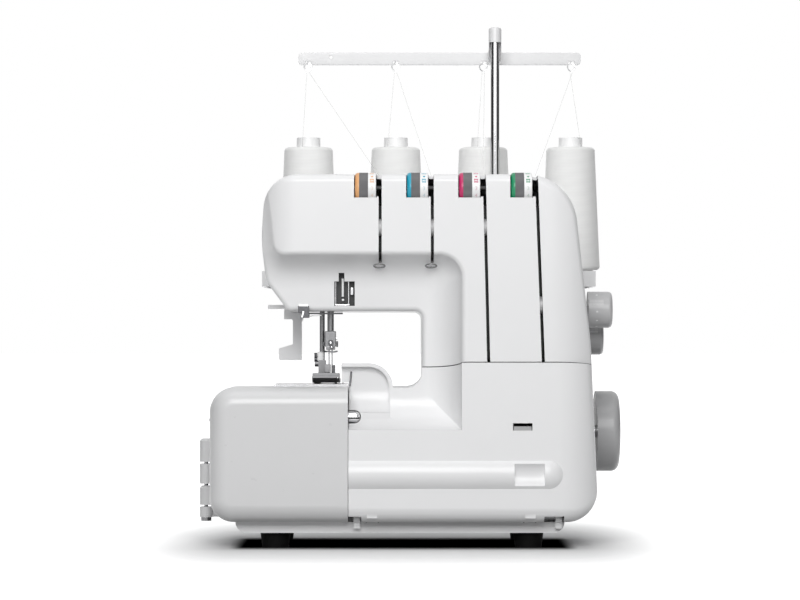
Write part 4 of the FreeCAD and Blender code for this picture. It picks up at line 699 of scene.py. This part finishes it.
def head_guides():
    work = bmesh.new()
    for x in RING_X:
        angles = [step * math.tau / RING_POINTS for step in range(RING_POINTS)]
        loop = [spot(x + 4.4 * math.sin(angle), 15.4 - 3.4 * math.cos(angle),
                     219.4 + 1.3 * math.cos(angle)) for angle in angles]
        bent_wire(work, loop, radius=0.6, cyclic=True)
        bent_wire(work, [spot(x, 18.4, 218.2), spot(x, 22, 218.4), spot(x, 30, 220)], radius=0.5)
    add_piece(work, "cove_rings", bar_steel, "machine", "chrome", "thread_guides")
    work = bmesh.new()
    brick(work, spot(-59.2, 31.2, 188.9), spot(-58.3, 34, 207.6), radius=0.3)
    brick(work, spot(-59.2, 30.9, 188.6), spot(-47.9, 33, 190.0), radius=0.4)
    brick(work, spot(-49.0, 31.2, 189.8), spot(-48.2, 34, 207.6), radius=0.25)
    brick(work, spot(-47.2, 32, 197.2), spot(-44.8, 35, 203.0), radius=0.5)
    add_piece(work, "take_up_bracket", steel, "machine", "chrome", "thread_guides")
    work = bmesh.new()
    turn(work, [(0, 195.6), (0.9, 195.9), (0.9, 210), (0, 210)], spot(-53.2, 32.6, 0), UP, steps=20)
    turn(work, [(0, -1.2), (0.9, -0.8), (0.9, 0.8), (0, 1.2)], spot(-53.0, 32.6, 193.4), BACK, steps=16)
    add_piece(work, "take_up_pin", cone_plastic, "machine", "chrome", "thread_guides")
    work = bmesh.new()
    brick(work, spot(-62, 36.4, 186), spot(-41.6, 37.2, 215.5), radius=0.3)
    add_piece(work, "take_up_backing", black_plastic, "machine", "channel_black", "thread_guides")
    work = bmesh.new()
    brick(work, spot(-88, 26.3, 183.4), spot(-79.4, 27.6, 188.8), radius=0.25)
    brick(work, spot(-84.2, 26.3, 179.2), spot(-79.4, 27.6, 184), radius=0.25)
    brick(work, spot(-86, 26.6, 179.3), spot(-79.4, 41, 180.6), radius=0.25)
    brick(work, spot(-85.8, 40, 182.2), spot(-53.4, 49.4, 183.4), radius=0.3)
    brick(work, spot(-85.8, 40, 179.3), spot(-79.4, 41.2, 183.2), radius=0.25)
    add_piece(work, "head_clip", blued, "machine", "chrome", "thread_guides")
    work = bmesh.new()
    brick(work, spot(-87.2, 26.0, 188.2), spot(-80.0, 27.7, 189.6), radius=0.3)
    brick(work, spot(-85.0, 25.9, 179.4), spot(-83.6, 26.8, 184.6), radius=0.3, tilt=HOOK_TILT)
    bent_wire(work, [spot(-79.6, 39, 180.4), spot(-78, 39.4, 180.9), spot(-74, 39.4, 181.2),
                     spot(-70, 39.4, 181.4)], radius=0.45)
    add_piece(work, "head_clip_edges", satin, "machine", "chrome", "thread_guides")


head_guides()


# Needle clamp, presser foot and its spring

CLAMP_FACE_DEPTH = 53.6
CLAMP_SCREWS = ((-63.2, 159.9, 2.1, 1.3), (-62.4, 156.4, 1.6, 0.8))
PRESSER_X, PRESSER_DEPTH = -70.3, 72
SPRING_LOW, SPRING_HIGH, SPRING_TURNS = 234.0, 246.0, 6
COIL_RADIUS, COIL_WIRE, COIL_POINTS = 3.6, 0.45, 10


def needle_clamp():
    work = bmesh.new()
    brick(work, spot(-67.8, 54.4, 156.6), spot(-59.2, 65.6, 169), radius=0.7, segments=3)
    brick(work, spot(-66.8, 53.6, 154.2), spot(-59.8, 65, 157.4), radius=0.5)
    add_piece(work, "needle_clamp_block", clamp_steel, "needle_bar", "steel", "needle_clamp")
    work = bmesh.new()
    bent_wire(work, [spot(-68.3, 54.4, 153.4), spot(-67.4, 53.6, 152.7), spot(-65, 53.4, 153.2),
                     spot(-63, 53.4, 152.7), spot(-60, 53.4, 152.6), spot(-57.8, 53.8, 153.2)],
              radius=0.6)
    add_piece(work, "needle_thread_wire", blued, "needle_bar", "steel", "needle_clamp")
    work = bmesh.new()
    for x, z, rim, _ in CLAMP_SCREWS:
        outline = [(rim - 0.9, -0.9), (rim, -0.9), (rim + 0.15, -0.3), (rim + 0.15, 1.5),
                   (rim - 0.9, 1.5)]
        turn(work, outline, spot(x, CLAMP_FACE_DEPTH, z), BACK, steps=32)
    brick(work, spot(-58.9, 56, 156.4), spot(-57.4, 60, 161.2), radius=0.5)
    brick(work, spot(-69.2, 56, 157.2), spot(-67.9, 60, 160.4), radius=0.4)
    add_piece(work, "needle_clamp_screw_rims", blued, "needle_bar", "steel", "needle_clamp")
    work = bmesh.new()
    for x, z, _, head in CLAMP_SCREWS:
        outline = [(0, -0.9), (head * 0.6, -0.8), (head, -0.4), (head, 1.4), (0, 1.4)]
        turn(work, outline, spot(x, CLAMP_FACE_DEPTH, z), BACK, steps=24)
    turn(work, [(0, -1.4), (1.0, -1.2), (1.0, 0.9), (0, 0.9)], spot(-59.0, 57, 163.4), RIGHT, steps=16)
    add_piece(work, "needle_clamp_screws", chrome, "needle_bar", "steel", "needle_clamp")


def presser_fittings():
    work = bmesh.new()
    brick(work, spot(-74.2, 68.4, 145.2), spot(-69.0, 75.6, 152.6), radius=1.2, segments=3)
    add_piece(work, "presser_holder", cone_plastic, "presser_bar", "steel")
    work = bmesh.new()
    drum(work, spot(-76.6, 71.5, 148.2), RIGHT, radius=3.6, length=2.2, ridges=14, depth=0.35)
    add_piece(work, "presser_thumb_screw", blued, "presser_bar", "steel", degrees=20)
    work = bmesh.new()
    brick(work, spot(-67.6, 44, 136.2), spot(-63.0, 51, 143), radius=0.5)
    add_piece(work, "presser_foot_block", foot_steel, "presser_bar", "steel")
    work = bmesh.new()
    brick(work, spot(-61.8, 44.6, 135.6), spot(-59.4, 50, 142.4), radius=0.4)
    add_piece(work, "presser_foot_catch", blued, "presser_bar", "steel")
    work = bmesh.new()
    brick(work, spot(-77.1, 36.5, 133.0), spot(-56.1, 51.6, 136.1), radius=0.3)
    add_piece(work, "presser_foot_brow", foot_steel, "presser_bar", "steel")


def presser_spring():
    """A coil of wire round the presser bar, from its lower seat up to its upper seat."""
    height = SPRING_HIGH - SPRING_LOW
    steps = SPRING_TURNS * COIL_POINTS
    line = []
    for step in range(steps + 1):
        angle = step * math.tau / COIL_POINTS
        line.append(spot(PRESSER_X + COIL_RADIUS * math.cos(angle),
                         PRESSER_DEPTH + COIL_RADIUS * math.sin(angle),
                         SPRING_LOW + 0.5 + (height - 1.0) * step / steps))
    work = bmesh.new()
    bent_wire(work, line, radius=COIL_WIRE)
    coil = add_piece(work, "presser_coil", steel, "machine", "steel", "presser_spring")
    spot(PRESSER_X, PRESSER_DEPTH, SPRING_HIGH)
    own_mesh(coil)


needle_clamp()
presser_fittings()
presser_spring()


# Mast head: slim bar with wire eyelets, and the cap over the rod

BAR_LEFT, BAR_RIGHT, BAR_BOTTOM, BAR_TOP = -94.5, 144.5, 395.0, 405.4
BAR_FRONT, BAR_BACK = 220.5, 223.5
BAR_CUT, BAR_CUT_MIDDLE = 2.4, 0.8
NOTCH_HALF, NOTCH_RISE = 2.4, 3.2
HOLE_X, HOLE_Z, HOLE_RADIUS = -67, 401.6, 1.5
MAST_X, MAST_DEPTH, MAST_TOP = 71.0, 190.0, 410.5
CAP_RADIUS = 5.3
MAST_CAP_OUTLINE = (
    (0, 12.7), (3.6, 12.7), (4.8, 12.2), (CAP_RADIUS, 11), (CAP_RADIUS, -15), (3.55, -15), (3.55, 0),
    (0, 0),
)
EYELET_RADIUS, EYELET_DEPTH, EYELET_Z, EYELET_WIRE = 3.3, 219.4, 392.9, 0.55


def bar_outline():
    """Corners of the bar from the front: cut corners at its ends, a notch over each eyelet."""
    corners = [
        (BAR_LEFT, BAR_TOP - BAR_CUT), (BAR_LEFT, BAR_BOTTOM + BAR_CUT),
        (BAR_LEFT + BAR_CUT_MIDDLE, BAR_BOTTOM + BAR_CUT_MIDDLE), (BAR_LEFT + BAR_CUT, BAR_BOTTOM),
    ]
    roof = BAR_BOTTOM + NOTCH_RISE
    for eyelet in EYELET_X:
        left, right = eyelet - NOTCH_HALF, eyelet + NOTCH_HALF
        corners += [(left, BAR_BOTTOM), (left, roof), (right, roof), (right, BAR_BOTTOM)]
    return corners + [
        (BAR_RIGHT - BAR_CUT, BAR_BOTTOM),
        (BAR_RIGHT - BAR_CUT_MIDDLE, BAR_BOTTOM + BAR_CUT_MIDDLE),
        (BAR_RIGHT, BAR_BOTTOM + BAR_CUT), (BAR_RIGHT, BAR_TOP - BAR_CUT),
        (BAR_RIGHT - BAR_CUT_MIDDLE, BAR_TOP - BAR_CUT_MIDDLE), (BAR_RIGHT - BAR_CUT, BAR_TOP),
        (BAR_LEFT + BAR_CUT, BAR_TOP), (BAR_LEFT + BAR_CUT_MIDDLE, BAR_TOP - BAR_CUT_MIDDLE),
    ]


def of_kind(result, kind):
    return [item for item in result["geom"] if isinstance(item, kind)]


def mast_bar():
    work = bmesh.new()
    verts = [work.verts.new(spot(x, BAR_FRONT, z)) for x, z in bar_outline()]
    edges = [work.edges.new(pair) for pair in zip(verts, verts[1:] + verts[:1])]
    upright = Matrix.Rotation(math.radians(90), 4, "X")
    place = Matrix.Translation(spot(HOLE_X, BAR_FRONT, HOLE_Z)) @ upright
    hole = bmesh.ops.create_circle(work, segments=20, radius=HOLE_RADIUS * MM, matrix=place)["verts"]
    edges += edges_of(work, hole)
    filled = bmesh.ops.triangle_fill(work, use_beauty=True, use_dissolve=False, edges=edges)
    faces = of_kind(filled, bmesh.types.BMFace)
    bmesh.ops.recalc_face_normals(work, faces=faces)
    extruded = bmesh.ops.extrude_face_region(work, geom=faces, use_keep_orig=True)
    moved = of_kind(extruded, bmesh.types.BMVert)
    bmesh.ops.translate(work, vec=BACK * ((BAR_BACK - BAR_FRONT) * MM), verts=moved)
    bmesh.ops.recalc_face_normals(work, faces=work.faces)
    rims = [edge for edge in work.edges if edge.calc_face_angle(0) > math.radians(60)]
    round_edges(work, rims, radius=0.35, segments=2)
    brick(work, spot(MAST_X - CAP_RADIUS, 193.6, BAR_BOTTOM),
          spot(MAST_X + CAP_RADIUS, BAR_FRONT + 0.6, BAR_TOP), radius=0.8)
    add_piece(work, "mast_bar", shaded_bar_plastic, "mast", "body_white", "thread_guide_bar")


def mast_cap():
    """A round cap whose skirt is open at the front, so that the rod shows below its top."""
    work = bmesh.new()
    turn(work, MAST_CAP_OUTLINE, spot(MAST_X, MAST_DEPTH, MAST_TOP), UP, steps=48)
    bmesh.ops.bisect_plane(work, geom=[*work.verts, *work.edges, *work.faces],
                           plane_co=spot(MAST_X, MAST_DEPTH, MAST_TOP + 0.2), plane_no=UP)
    low_front = []
    for face in work.faces:
        middle = face.calc_center_median()
        if middle.z < (MAST_TOP + 0.1) * MM and middle.y < FRONT + (MAST_DEPTH - 1.7) * MM:
            low_front.append(face)
    bmesh.ops.delete(work, geom=low_front, context="FACES")
    add_piece(work, "mast_cap", white_plastic, "mast", "body_white", "thread_guide_bar")


def mast_eyelets():
    work = bmesh.new()
    for eyelet in EYELET_X:
        line = [spot(eyelet - 0.4, 221.6, 399), spot(eyelet - 0.4, 220.6, 397.6),
                spot(eyelet - 0.6, 219.6, 396.4)]
        for step in range(11):
            angle = math.radians(100 + 40 * step)
            line.append(spot(eyelet + EYELET_RADIUS * math.cos(angle), EYELET_DEPTH + 0.16 * step,
                             EYELET_Z + EYELET_RADIUS * math.sin(angle)))
        bent_wire(work, line, radius=EYELET_WIRE)
    add_piece(work, "mast_eyelets", eyelet_wire, "mast", "chrome", "thread_guide_bar")


mast_bar()
mast_cap()
mast_eyelets()


# Marks on the right-hand dials and the switch, and the looper cover's spring leaf

STITCH_CENTRE = spot(141, 70, 186)
FEED_CENTRE = spot(143, 106, 164.5)
MARK_RADIUS = 14.4
POINTER_MIDDLE, TICK_STEP, TICK_HALF = 23.5, 30, 2.5
SWITCH_DEPTH, SIGN_SIZE = 131, 5
SWITCH_SIGNS = (("I", 45), ("O", 35))


def right_hand_marks():
    work = bmesh.new()
    patch(work, 141.2, 152.4, 15, 32, STITCH_CENTRE, MARK_RADIUS, thickness=0.5)
    add_piece(work, "stitch_dial_pointer", scale_plastic, "stitch_length_dial", "knob_grey")
    work = bmesh.new()
    for turned in range(-150, 180, TICK_STEP):
        if turned:
            middle = POINTER_MIDDLE + turned
            patch(work, 146.4, 148.0, middle - TICK_HALF, middle + TICK_HALF, STITCH_CENTRE,
                  MARK_RADIUS)
    add_piece(work, "stitch_dial_ticks", scale_plastic, "stitch_length_dial", "knob_grey")
    work = bmesh.new()
    patch(work, 144.0, 150.2, 14, 26, FEED_CENTRE, MARK_RADIUS, thickness=0.4)
    add_piece(work, "feed_dial_pointer", scale_plastic, "differential_feed_dial", "knob_grey")


def switch_marks():
    work = bmesh.new()
    face_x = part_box("power_switch")[1][0]
    for text, height in SWITCH_SIGNS:
        centre = Vector((face_x, FRONT + SWITCH_DEPTH * MM, height * MM))
        figure(work, text, SIGN_SIZE, facing_out(centre, BACK, RIGHT), thickness=0.1)
    add_piece(work, "switch_marks", scale_plastic, "power_switch", "channel_black")


def cover_spring_leaf():
    work = bmesh.new()
    bent_wire(work, [spot(-46.6, 34.6, 137.4), spot(-46.9, 34.2, 133), spot(-47.4, 33.6, 129),
                     spot(-48.0, 33.2, 126)], radius=0.7)
    add_piece(work, "cover_spring_leaf", blued, "looper_cover", "chrome")


right_hand_marks()
switch_marks()
cover_spring_leaf()


# Construction carried over as it is

REBUILT = {
    "thread_runs", "tension_units", "thread_guides", "needle_clamp", "presser_spring",
    "thread_guide_bar", *(f"tension_dial_{index}" for index in ACCENT_COLOURS),
    *(f"tension_cap_{index}" for index in ACCENT_COLOURS),
}
OWN_FINISH = {
    "cloth_plate_cover": plate_plastic, "side_hinge": hinge_plastic, "hinge_pins": bar_steel,
    "dial_axle": black_plastic, "presser_bar": bar_steel, "needle_bar": bar_steel,
    "presser_foot": foot_steel, "presser_lifter": lifter_plastic, "cover_lock_stud": stud_chrome_painted_reflection,
    "cover_sleeves": tab_plastic, "cover_window_tab": tab_plastic, "handwheel": wheel_plastic,
    "differential_feed_dial": wheel_plastic, "mast_rod": mast_chrome,
}
for node, obj in nodes.items():
    slot_look = slot_finish[slot_of_node[node]]
    dress(obj, slot_look)
    if node not in REBUILT:
        skin(node, OWN_FINISH.get(node, slot_look))


# Studio

FLOOR_SIZE = 30
# Painted glow: the distance over which the floor's emission rises away from the machine.
PAINTED_GLOW_FADE = 0.4
FLOOR_TONE = 0.75
FLOOR_BOUNCE = 0.4
# Painted shadow: the footprint where the floor is painted black, and how soon it lightens round it.
PAINTED_SHADOW_EDGE = 0.035
PAINTED_SHADOW_X, PAINTED_SHADOW_HALF_X, PAINTED_SHADOW_SQUEEZE_X = -0.006, 0.125, 2.6
PAINTED_SHADOW_Y, PAINTED_SHADOW_HALF_Y = -0.05, 0.04
MIRROR_EDGE, MIRROR_DARK = (0.62, 0.86), (0.03, 0.03, 0.03)
SIDE_EDGE, SIDE_LOSS = (0.2, 0.8), 0.72
SKY_EDGE, SKY_LEVEL = (-0.1, 0.45), 0.46
BACK_EDGE, BACK_LEVEL = (0.35, 0.85), 0.75
COOL_WHITE = (1, 1.01, 1.02)


def beyond(place, centre, half):
    """How far a coordinate lies outside a span."""
    return ((place - centre).size() - half).clipped()


def floor_sheet():
    """A pale floor with painted shadow: black under the machine's footprint, lightening over a few
    centimetres round it, on top of the shadow the lamps cast. A painted glow to the camera, rising away
    from the footprint, runs it into the white backdrop; bounced rays see it darker.
    """
    work = bmesh.new()
    bmesh.ops.create_grid(work, x_segments=1, y_segments=1, size=FLOOR_SIZE)
    floor = bpy.data.objects.new("floor", mesh_of(work, "floor", degrees=30))
    bpy.context.scene.collection.objects.link(floor)
    finish = Finish("studio_floor_painted_shadow", roughness=0.9, specular_ior_level=0.0)
    across = beyond(finish.axis("X"), PAINTED_SHADOW_X, PAINTED_SHADOW_HALF_X) * PAINTED_SHADOW_SQUEEZE_X
    along = beyond(finish.axis("Y"), PAINTED_SHADOW_Y, PAINTED_SHADOW_HALF_Y)
    away = (across * across + along * along).root()
    seen = finish.ray("Camera", "Glossy", "Transmission")
    paint = finish.grain(scale=3, detail=2) * 0.02 + FLOOR_TONE
    # Painted shadow: the floor's colour falls to black under the machine.
    painted_shadow_tone = paint * away.ramp(0.0, PAINTED_SHADOW_EDGE) * seen + (1 - seen) * FLOOR_BOUNCE
    finish.feed(base_color=finish.mix(painted_shadow_tone, BLACK, BRIGHT))
    # Painted glow: emission that whitens the floor away from the machine.
    painted_glow = seen * away.ramp(0.0, PAINTED_GLOW_FADE)
    finish.feed(emission_color=finish.mix(painted_glow, BLACK, BRIGHT), emission_strength=1.0)
    dress(floor, finish)


def studio_world():
    """White to the camera, dark at the sides to mirrors, and soft light from above and behind."""
    world = bpy.data.worlds.new("studio")
    bpy.context.scene.world = world
    world.use_nodes = True
    sky = Graph(world.node_tree)
    way = sky.add("ShaderNodeTexCoord", {}, output="Generated")
    x, y, z = (sky.add("ShaderNodeSeparateXYZ", {}, way, output=axis) for axis in "XYZ")
    mirrored = sky.mix(x.size().ramp(*MIRROR_EDGE), BRIGHT, MIRROR_DARK)
    overhead = (1 - x.size().ramp(*SIDE_EDGE) * SIDE_LOSS) * (z.ramp(*SKY_EDGE) * 0.5 + 0.5)
    level = overhead * SKY_LEVEL + y.ramp(*BACK_EDGE) * BACK_LEVEL
    soft = sky.mix(level, BLACK, COOL_WHITE)
    lit = sky.mix(sky.ray("Glossy"), soft, mirrored)
    shown = sky.mix(sky.ray("Camera", "Transmission"), lit, BRIGHT)
    sky.join(world.node_tree.nodes["Background"].inputs["Color"], shown)


def softbox(name, place, target, width, height, watts):
    light = bpy.data.lights.new(name, "AREA")
    light.shape = "RECTANGLE"
    light.size = width
    light.size_y = height
    light.energy = watts
    lamp = bpy.data.objects.new(name, light)
    lamp.location = place
    lamp.rotation_euler = (Vector(target) - Vector(place)).to_track_quat("-Z", "Y").to_euler()
    bpy.context.scene.collection.objects.link(lamp)


floor_sheet()
studio_world()
softbox("top_box", place=(-0.1, -0.5, 1.6), target=(0.0, 0.0, 0.15),
        width=1.0, height=1.0, watts=4.5)
softbox("front_box", place=(-0.12, -1.9, 0.95), target=(0.0, 0.0, 0.2),
        width=1.0, height=0.9, watts=23.5)
bpy.context.scene.view_settings.view_transform = "Standard"
